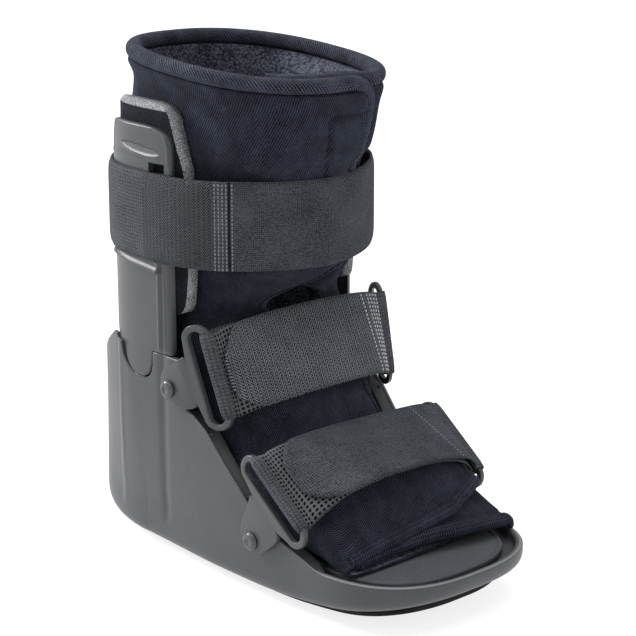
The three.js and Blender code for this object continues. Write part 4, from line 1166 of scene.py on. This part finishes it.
def toe_roll(outside, inside):
    """Points, faces and weave of the rolled hem along a flap's front end."""
    middle = (outside[-1] + inside[-1]) / 2
    ahead = unit(middle - (outside[-5] + inside[-5]) / 2)
    along_edge = unit(np.gradient(middle, axis=0))
    normal = np.cross(along_edge, ahead)
    for _ in range(12):
        normal[1:-1] = normal[:-2] + normal[1:-1] + normal[2:]
        normal = unit(normal)
    normal *= np.sign(normal[len(normal) // 2, 2])
    taper = np.clip(np.minimum(np.arange(len(middle)) + 1, len(middle) - np.arange(len(middle))) / 3, 0.4, 1)
    middle = middle - ahead * TOE_ROLL_WIDTH * 0.3
    short = np.maximum(FOOT_LINE_Z + TOE_ROLL_HEIGHT / 2 - middle[:, 2], 0)
    middle[:, 2] += short
    loops = np.array([
        roll_loop(m, n, a, TOE_ROLL_HEIGHT * t, TOE_ROLL_WIDTH * t, sides=16, lift=0.0)
        for m, n, a, t in zip(middle, normal, ahead, taper)
    ])
    points, faces = tube(loops)
    return points, faces, roll_weave(loops)


def roll_weave(loops):
    """Cloth length along a roll and width round it, for each point."""
    middle = loops.mean(1)
    length = np.cumsum(np.linalg.norm(np.diff(middle, axis=0, prepend=middle[:1]), axis=-1))
    girth = np.linalg.norm(np.diff(loops[0], axis=0), axis=-1).sum() * 1.05
    round_it = np.linspace(0, girth, loops.shape[1], endpoint=False)
    return np.stack(np.broadcast_arrays(length[:, None], round_it[None, :]), -1).reshape(-1, 2)


def make_binding():
    outside = liner_grid(0)
    inside = liner_grid(1)
    middle = (outside + inside) / 2
    outward = unit(outside - inside)
    rows = int(np.sum(LINER_AT <= BINDING_END_ROW))
    path = np.concatenate([middle[0], middle[1:rows, -1]])
    normal = np.concatenate([outward[0], outward[1:rows, -1]])
    ahead = unit(np.gradient(path, axis=0))
    for _ in range(3):
        ahead[1:-1] = unit(ahead[:-2] + ahead[1:-1] + ahead[2:])
    away = unit(np.cross(normal, ahead))
    if away[0, 2] < 0:
        away = -away
    loops = np.array([
        roll_loop(e, n, a, BINDING_WIDTH, BINDING_HEIGHT)
        for e, n, a in zip(path + away * BINDING_GAP, normal, away)
    ])
    points, faces = tube(loops)
    piece = shown(
        "collar_binding",
        points,
        faces,
        [BINDING],
        weave=roll_weave(loops),
        stands_for=["liner_binding"],
    )
    return piece


# Calf strap: one band round the uprights, hook tape on the right side and loop cloth over the front

CALF_STRAP_Z = up(0.695)
BAND_STEPS = 400
# Stretches of the band's outer face, by its length from the back: where each one ends, and its cloth
BAND_STRETCHES = {"plain_back": 117.0, "ribbed": 164.4, "grid": 172.4, "seam": 173.6}
BAND_SAG = 3.2
TAPE_PROUD = 0.5
THREAD_PITCH = 2.1


def band_sway(length, girth):
    """How far the band runs above its level line: slightly wavy, and sagging at the front."""
    turn = length / girth * 2 * math.pi
    front = (1 - np.cos(turn)) / 2
    return 0.35 * np.sin(3 * turn + 0.6) - BAND_SAG * front**3


def make_calf_strap():
    dense = np.linspace(0, 2 * math.pi, 4001)
    steps = np.diff(leg_ring(dense, 0), axis=0, prepend=leg_ring(dense[:1], 0))
    dense_length = np.cumsum(np.linalg.norm(steps, axis=1))
    girth = float(dense_length[-1])
    ends = np.array(list(BAND_STRETCHES.values()))
    even = np.linspace(0, girth, BAND_STEPS, endpoint=False)
    length = np.unique(np.round(np.concatenate([even, ends - 0.05, ends]), 3))
    turn = np.interp(length, dense_length, dense)
    outer = leg_ring(turn, 0)
    inner = leg_ring(turn, CALF_STRAP_THICKNESS)
    proud = TAPE_PROUD * smooth((length - 20) / 15) * (length < BAND_STRETCHES["seam"] - 0.02)
    outward = unit(outer - inner)
    profile = np.linspace(-1, 1, 17)
    edge = 1 - np.abs(profile) ** 10
    sway = band_sway(length, girth)
    half = CALF_STRAP_WIDTH / 2
    level = CALF_STRAP_Z + half * profile[None, :] + sway[:, None]
    share = 0.55 + 0.45 * edge
    raised = outward[:, None] * (proud[:, None] * edge)[..., None]
    face = mix(inner[:, None], outer[:, None], share[None, :, None]) + raised
    back = np.broadcast_to(inner[:, None], face.shape)
    front_loop = np.concatenate([face, level[..., None]], -1)
    back_loop = np.concatenate([back, level[..., None]], -1)[:, ::-1]
    loops = np.concatenate([front_loop, back_loop], 1)
    points, faces = tube(loops, closed=True)
    across = np.concatenate([profile, profile[::-1]]) * half
    weave = np.stack(np.broadcast_arrays(length[:, None], across[None, :]), -1).reshape(-1, 2)
    middle = (length + np.append(length[1:], girth)) / 2
    kind = np.searchsorted(ends, middle)
    columns = loops.shape[1]
    # The calf strap's ribbed stretch takes the darker copy of the hook tape, painted shade.
    face_material = np.repeat(np.array([3, 1, 4, 2, 0])[kind], columns)
    threads = make_calf_threads(dense_length, dense)
    piece = shown(
        "calf_band",
        points,
        faces,
        [LOOP, HOOK_SHADED, SEAM, TAPE, PLAIN],
        weave=weave,
        face_material=face_material,
        stands_for=["calf_strap"],
    )
    return piece


def make_calf_threads(dense_length, dense):
    """The grid of stitches that holds the tape's end, and one dotted line beyond it."""
    half = CALF_STRAP_WIDTH / 2 - 1.2
    low = BAND_STRETCHES["ribbed"] + 0.9
    places = []
    ahead = []
    outward = []
    for length in [low + i * THREAD_PITCH for i in range(4)] + [BAND_STRETCHES["seam"] + 1.0]:
        turn = np.interp([length], dense_length, dense)
        outer = leg_ring(turn, 0)[0]
        normal = unit(outer - leg_ring(turn, CALF_STRAP_THICKNESS)[0])
        proud = TAPE_PROUD if length < BAND_STRETCHES["seam"] else 0
        for level in np.arange(-half, half, THREAD_PITCH):
            height = CALF_STRAP_Z + level + band_sway(length, dense_length[-1])
            places.append((*(outer + normal * proud), height))
            ahead.append((0, 0, 1))
            outward.append((*normal, 0))
    places, ahead, outward = np.array(places), np.array(ahead), np.array(outward)
    return stitches(
        "calf_threads", places, ahead, outward, long=1.5, wide=0.95, proud=0.3, material=STITCH
    )


# Rings, rivets and folded straps

RINGS = {
    "ankle": {
        "y": -0.0075,
        "z": 0.405,
        "slope": 73.3,
        "seat": 0.402,
        "lean": 0.35,
        "bend": 0.05,
        "ear": 0.645,
        "rivet": 0.81,
    },
    "toe": {
        "y": -0.2,
        "z": 0.2147,
        "slope": 37.6,
        "seat": 0.178,
        "lean": 0.0,
        "bend": -0.5,
        "ear": 0.717,
        "rivet": 0.84,
    },
}
EAR_OUTLINE = [
    (0.57, 0.3), (0.6, 0.45), (0.48, 0.83), (0.26, 1),
    (-0.06, 1), (-0.3, 0.88), (-0.47, 0.42), (-0.53, 0.28),
]
RIVET_SLOT_SHARE = 0.11


def shell_side_x(y, z):
    x, ys = half_outline(np.zeros((1, 1)), np.full((1, 1), float(climb_at(z))))
    order = np.argsort(ys[0])
    return float(np.interp(y, ys[0][order], x[0][order]))


def ring_axes(ring):
    angle = math.radians(ring["slope"])
    slot = np.array([0, -math.cos(angle), -math.sin(angle)])
    ahead = np.array([0, -math.sin(angle), math.cos(angle)])
    centre = np.array([0, along(ring["y"]), up(ring["z"])])
    return slot, ahead, centre, ring["ear"] * RING_SLOT_LENGTH


def ring_seat_x(ring):
    _, ahead, centre, reach = ring_axes(ring)
    rivet = centre - ahead * ring["rivet"] * reach
    return shell_side_x(rivet[1], up(ring["seat"])) + GAP


def ring_inner_x(ring, y):
    return ring_seat_x(ring) - ring["lean"] * np.maximum(0, along(ring["bend"]) - y)


def arc(cx, cy, radius, start, end, steps):
    turn = np.radians(np.linspace(start, end, steps))
    return [(cx + radius * math.cos(t), cy + radius * math.sin(t)) for t in turn]


def rounded(corners, radius, steps=5):
    """A polygon with its corners eased, as a list of points."""
    corners = [np.array(c, float) for c in corners]
    made = []
    for i, corner in enumerate(corners):
        before = corners[i - 1] - corner
        after = corners[(i + 1) % len(corners)] - corner
        cut = min(radius, 0.45 * np.linalg.norm(before), 0.45 * np.linalg.norm(after))
        start = corner + before / np.linalg.norm(before) * cut
        end = corner + after / np.linalg.norm(after) * cut
        for t in np.linspace(0, 1, steps):
            made.append((1 - t) ** 2 * start + 2 * t * (1 - t) * corner + t * t * end)
    return made


def make_ring(sign, name, node, ring):
    """Flat moulded loop with an ear: a filled outline with a slot, thickened with rounded edges."""
    slot, ahead, centre, reach = ring_axes(ring)
    half = RING_SLOT_LENGTH / 2
    bar = RING_SLOT_WIDTH / 2 + RING_BAR
    straight = half + RING_BAR - bar
    ear = rounded([(a * half, -max(bar, b * reach)) for a, b in EAR_OUTLINE], 4.5)
    ear = [p for p in ear if p[1] < -bar]
    round_ends = arc(-straight, 0, bar, 270, 90, 17) + arc(straight, 0, bar, 90, -90, 17)
    outline = round_ends + [tuple(p) for p in ear]
    inner = RING_SLOT_WIDTH / 2
    hole = arc(-half + inner, 0, inner, 90, 270, 13) + arc(half - inner, 0, inner, -90, 90, 13)
    curve = bpy.data.curves.new("ring", "CURVE")
    curve.dimensions = "2D"
    curve.fill_mode = "BOTH"
    round_edge = 0.75
    curve.extrude = RING_THICKNESS / 2 - round_edge
    curve.bevel_depth = round_edge
    curve.bevel_resolution = 3
    curve.offset = -round_edge
    for loop in (outline, hole):
        line = curve.splines.new("POLY")
        line.points.add(len(loop) - 1)
        for point, (a, b) in zip(line.points, loop):
            point.co = (a, b, 0, 1)
        line.use_cyclic_u = True
    drawn = bpy.data.objects.new("ring", curve)
    bpy.context.scene.collection.objects.link(drawn)
    graph = bpy.context.evaluated_depsgraph_get()
    flat = bpy.data.meshes.new_from_object(drawn.evaluated_get(graph))
    place = np.empty(3 * len(flat.vertices))
    flat.vertices.foreach_get("co", place)
    place = place.reshape(-1, 3)
    points = centre + place[:, :1] * slot + place[:, 1:2] * ahead
    points[:, 0] = sign * (ring_inner_x(ring, points[:, 1]) + RING_THICKNESS / 2 + place[:, 2])
    faces = [list(p.vertices) for p in flat.polygons]
    middle = np.array([place[f].mean(0) for f in faces])
    # Faces round the slot on the outer side take the lighter edge plastic, a painted highlight.
    by_slot = (np.abs(middle[:, 0]) < half + 0.6) & (np.abs(middle[:, 1]) < inner + 0.7)
    painted_highlight = by_slot & (middle[:, 2] * sign > 0.3)
    bpy.data.objects.remove(drawn)
    materials = [RING_PLASTIC, HIGHLIGHT_EDGE]
    piece = shown(name, points, faces, materials, face_material=painted_highlight, stands_for=[node])
    welded = piece.modifiers.new("weld", "WELD")
    welded.merge_threshold = 0.00002
    keep_result(piece)
    return piece


RIVET_PROFILE = [
    (0, 0), (0.96, 0), (1, 0.1), (0.98, 0.3), (0.88, 0.62), (0.7, 0.9),
    (0.52, 1), (0.42, 0.95), (0.33, 0.8), (0.2, 0.72), (0, 0.7),
]


def make_rivet(sign, name, node, ring):
    slot, ahead, centre, reach = ring_axes(ring)
    place = centre + slot * RIVET_SLOT_SHARE * RING_SLOT_LENGTH / 2 - ahead * ring["rivet"] * reach
    base = ring_inner_x(ring, place[1]) + RING_THICKNESS + GAP
    turn = np.linspace(0, 2 * math.pi, 36, endpoint=False)
    loops = [
        np.stack(
            [
                np.full(36, sign * (base + high * RIVET_HEIGHT)),
                place[1] + across * RIVET_RADIUS * np.cos(turn),
                place[2] + across * RIVET_RADIUS * np.sin(turn),
            ],
            -1,
        )
        for across, high in [(max(a, 0.02), h) for a, h in RIVET_PROFILE]
    ]
    points, faces = tube(loops)
    return shown(name, points, faces, [STUD], stands_for=[node])


PINS = {"ankle": (-3.0, 3.4), "toe": (-31.5, 3.8)}


def make_pin(sign, name, y, inset):
    """Small domed pin on the slanted edge's sunk strip."""
    z = float(np.interp(y, WALL_TOP_Y, WALL_TOP_Z))
    centre = np.array([sign * (shell_side_x(y, z) - inset), y, z - 1.6])
    turn = np.linspace(0, 2 * math.pi, 14, endpoint=False)
    loops = [
        centre + np.stack([1.2 * a * np.cos(turn), 1.2 * a * np.sin(turn), np.full(14, 1.3 * h)], -1)
        for a, h in ((1, 0), (0.95, 0.4), (0.75, 0.75), (0.4, 0.95), (0.02, 1))
    ]
    points, faces = tube(loops)
    return shown(name, points, faces, [STUD])


STRAPS = {
    "ankle": {"crown": 0.396, "tilt": 0.156, "rise": 0.094, "tip": -0.98},
    "toe": {"crown": 0.458, "tilt": 0.2, "rise": 0.079, "tip": -0.9},
}
TIP_LENGTH = 20.0
LAYER_REACH = 0.98
HUMP_REACH = 0.92


def strap_path(ring, strap):
    """The strap's centre line.

    Its columns: place across the boot, height over the ring, hump share, tip share and stretch.
    """
    bar_b = (RING_SLOT_WIDTH + RING_BAR) / 2
    bar = RING_THICKNESS / 2 + GAP + STRAP_THICKNESS / 2
    bar_x = float(ring_inner_x(ring, along(ring["y"]))) + RING_THICKNESS / 2
    layer = STRAP_THICKNESS + STRAP_LAYER_GAP

    def hump(x):
        return (1 - min(1, abs(x) / (HUMP_REACH * bar_x)) ** 2.4) ** 0.6

    crown = strap["crown"] * STRAP_WIDTH - layer - STRAP_THICKNESS / 2 - bar_b

    def base(x):
        return bar_b - bar * x / bar_x + crown * hump(x)

    tip_end = strap["tip"] * bar_x
    tip_start = tip_end + TIP_LENGTH
    path = []
    for t in np.linspace(0, 1, 12):
        x = -mix(0.7, 0.97, t) * bar_x
        path.append((x, mix(base(x) - layer, bar_b - bar, float(smooth(1.25 * t))), hump(x), 0, 0))
    for turn in np.radians(-90 - np.linspace(0, 180, 18)[1:-1]):
        path.append((-bar_x + bar * math.cos(turn), bar_b + bar * math.sin(turn), 0, 0, 1))
    for t in np.linspace(-LAYER_REACH, LAYER_REACH, 70):
        path.append((t * bar_x, base(t * bar_x), hump(t * bar_x), 0, 2))
    for turn in np.radians(-90 + np.linspace(0, 180, 18)[1:-1]):
        path.append((bar_x + bar * math.cos(turn), bar_b + bar * math.sin(turn), 0, 0, 3))
    top = np.concatenate(
        [
            np.linspace(LAYER_REACH * bar_x, tip_start, 60, endpoint=False),
            tip_start - TIP_LENGTH * np.sin(np.radians(np.linspace(0, 90, 16))),
        ]
    )
    for x in top:
        slope = (base(x + 1) - base(x - 1)) / 2
        clear = layer * math.hypot(1, slope)
        lift = max(clear, mix(layer, 2 * bar, float(smooth((x / bar_x - 0.4) / 0.6))))
        past = min(1, max(0, (tip_start - x) / TIP_LENGTH))
        path.append((x, base(x) + lift + 1.1 * float(smooth(past * 1.4)), hump(x), past, 4))
    return np.array(path), bar_x


def make_strap(name, node, ring, strap, top_material, thread_rows):
    slot, ahead, centre, _ = ring_axes(ring)
    path, bar_x = strap_path(ring, strap)
    x, b, hump, past, stretch = path.T
    tangent = unit(np.stack([np.gradient(x), np.gradient(b)], -1))
    half = STRAP_WIDTH / 2
    share = np.concatenate([np.linspace(-1, 1, 15), np.linspace(1, -1, 15)])
    face = np.concatenate([np.ones(15), -np.ones(15)])
    edge = 1 - np.abs(share) ** 12
    reach = half * np.sqrt(1 - (0.93 * past) ** 2)
    a = share[None, :] * reach[:, None]
    tilt = 2 * strap["tilt"] * a * hump[:, None]
    thick = face * (0.35 + 0.65 * edge) * STRAP_THICKNESS / 2
    height = b[:, None] + tilt + thick * tangent[:, :1]
    rise = strap["rise"] * STRAP_WIDTH * hump[:, None]
    points = centre + (a - rise)[..., None] * slot + height[..., None] * ahead
    side = np.clip(x / bar_x, -1, 1) * (1 - hump)
    lean = side[:, None] * ring["lean"] * (points[..., 1] - along(ring["y"]))
    points[..., 0] = x[:, None] + lean - thick * tangent[:, 1:2]
    length = np.cumsum(np.hypot(np.diff(x, prepend=x[0]), np.diff(b, prepend=b[0])))
    weave = np.stack(np.broadcast_arrays(length[:, None], a), -1).reshape(-1, 2)
    solid, faces = tube(points)
    columns = points.shape[1]
    kind = np.repeat(stretch[:-1], columns)
    row_x = np.repeat((x[:-1] + x[1:]) / 2, columns)
    material = np.zeros(len(kind), int)
    material[(kind == 2) & (row_x < -0.3 * bar_x)] = 2
    material[(kind == 4) & (row_x < bar_x - 6.0)] = 1
    material = np.concatenate([material, [1, 1]])
    piece = shown(
        name,
        solid,
        faces,
        [TAPE, top_material, MESH],
        weave=weave,
        face_material=material,
        stands_for=[node],
    )
    threads = make_strap_threads(f"{name}_threads", points, x, stretch, bar_x, thread_rows)
    return piece


def make_strap_threads(name, points, x, stretch, bar_x, thread_rows):
    """Stitches across the strap's folded end: thread_rows gives each row's distance in from the ring."""
    top = np.flatnonzero(stretch == 4)
    order = top[np.argsort(x[top])]
    face = points[order][:, 15:][:, ::-1]
    places = []
    ahead = []
    outward = []

    def row_at(place):
        return np.array([[np.interp(place, x[order], face[:, j, k]) for k in range(3)] for j in range(15)])

    for inward in thread_rows:
        spot = row_at(bar_x - inward)
        behind = row_at(bar_x - inward - 2)
        line = unit(np.gradient(spot, axis=0))
        normal = unit(np.cross(line, spot - behind))
        normal *= np.sign(normal[:, 2:3] - normal[:, 1:2])
        share = np.linspace(0.6, 13.4, int(STRAP_WIDTH / 2.4))
        for column in share:
            places.append([np.interp(column, np.arange(15), spot[:, k]) for k in range(3)])
            ahead.append([np.interp(column, np.arange(15), line[:, k]) for k in range(3)])
            outward.append([np.interp(column, np.arange(15), normal[:, k]) for k in range(3)])
    light = STITCH_LIGHT if len(thread_rows) > 2 else STITCH
    ahead, outward = unit(np.array(ahead)), unit(np.array(outward))
    return stitches(
        name, np.array(places), ahead, outward, long=1.5, wide=1.15, proud=0.35, material=light
    )


make_shell()
make_footbed()
make_tread()
for side_sign, side_name in ((-1, "right"), (1, "left")):
    make_upright(side_sign, f"stay_{side_name}", f"upright_{side_name}")
    make_pad(side_sign, f"foam_{side_name}", f"pad_{side_name}")
    for ring_name, ring_row in RINGS.items():
        make_ring(side_sign, f"{ring_name}_loop_{side_name}", f"{ring_name}_ring_{side_name}", ring_row)
        make_rivet(side_sign, f"{ring_name}_stud_{side_name}", f"{ring_name}_rivet_{side_name}", ring_row)
    for pin_name, pin_place in PINS.items():
        make_pin(side_sign, f"{pin_name}_pin_{side_name}", *pin_place)
make_liner()
make_binding()
make_calf_strap()
ankle_rows = (7.2, 9.6, 12.0, 14.4, 18.8)
toe_rows = (21.0,)
# The ankle strap's top takes the lighter copy of the hook tape, painted light.
make_strap("ankle_band", "ankle_strap", RINGS["ankle"], STRAPS["ankle"], HOOK_LIT, ankle_rows)
make_strap("toe_band", "toe_strap", RINGS["toe"], STRAPS["toe"], PLAIN, toe_rows)


# Floor, light and camera


def make_floor():
    mesh = bpy.data.meshes.new("floor")
    reach = 30.0
    corners = [(-reach, -reach, 0), (reach, -reach, 0), (reach, reach, 0), (-reach, reach, 0)]
    mesh.from_pydata(corners, [], [(0, 1, 2, 3)])
    made = Surface("pale_floor", 0.9, specular=0.1)
    made.colour(made.blend(made.noise(3), (0.33, 0.33, 0.332), (0.36, 0.36, 0.362)))
    made.shader.inputs["Emission Color"].default_value = (1, 1, 1, 1)
    made.shader.inputs["Emission Strength"].default_value = 0.8
    mesh.materials.append(made.material)
    floor = bpy.data.objects.new("floor", mesh)
    bpy.context.scene.collection.objects.link(floor)


def make_light(name, place, target, size, watts):
    lamp = bpy.data.lights.new(name, "AREA")
    lamp.size = size
    lamp.energy = watts
    holder = bpy.data.objects.new(name, lamp)
    holder.location = place
    holder.rotation_euler = (Vector(target) - Vector(place)).to_track_quat("-Z", "Y").to_euler()
    bpy.context.scene.collection.objects.link(holder)


def make_sun(strength, spread):
    lamp = bpy.data.lights.new("overhead", "SUN")
    lamp.energy = strength
    lamp.angle = math.radians(spread)
    holder = bpy.data.objects.new("overhead", lamp)
    bpy.context.scene.collection.objects.link(holder)


def make_world(strength):
    world = bpy.data.worlds.new("studio")
    world.use_nodes = True
    background = world.node_tree.nodes["Background"]
    background.inputs[0].default_value = (1, 1, 1, 1)
    background.inputs[1].default_value = strength
    bpy.context.scene.world = world


def make_camera():
    turn = math.radians(42.8)
    pitch = math.radians(15.6)
    back = Vector((-math.sin(turn) * math.cos(pitch), -math.cos(turn) * math.cos(pitch), math.sin(pitch)))
    right = Vector((math.cos(turn), -math.sin(turn), 0))
    rise = back.cross(right)
    camera = bpy.data.objects.new("camera", bpy.data.cameras.new("camera"))
    camera.data.sensor_width = 36
    camera.data.lens = 36 * 2046 / 636
    camera.data.clip_start = 0.01
    camera.data.clip_end = 50
    spin = Matrix((right, rise, back)).transposed().to_4x4()
    camera.matrix_world = Matrix.Translation((-0.74563, -0.82464, 0.44966)) @ spin
    bpy.context.scene.collection.objects.link(camera)
    bpy.context.scene.camera = camera


bpy.context.scene.view_settings.view_transform = "Standard"
make_floor()
make_world(0.5)
make_sun(1.9, 55)
make_light("key", (-1.7, 0.1, 1.2), (0, 0, 0.12), 1.0, 2.5)
make_light("front", (0.2, -2.0, 1.3), (0, 0, 0.12), 1.4, 9)
make_light("rim", (-0.9, 1.7, 1.3), (0, 0, 0.15), 0.8, 60)
make_camera()
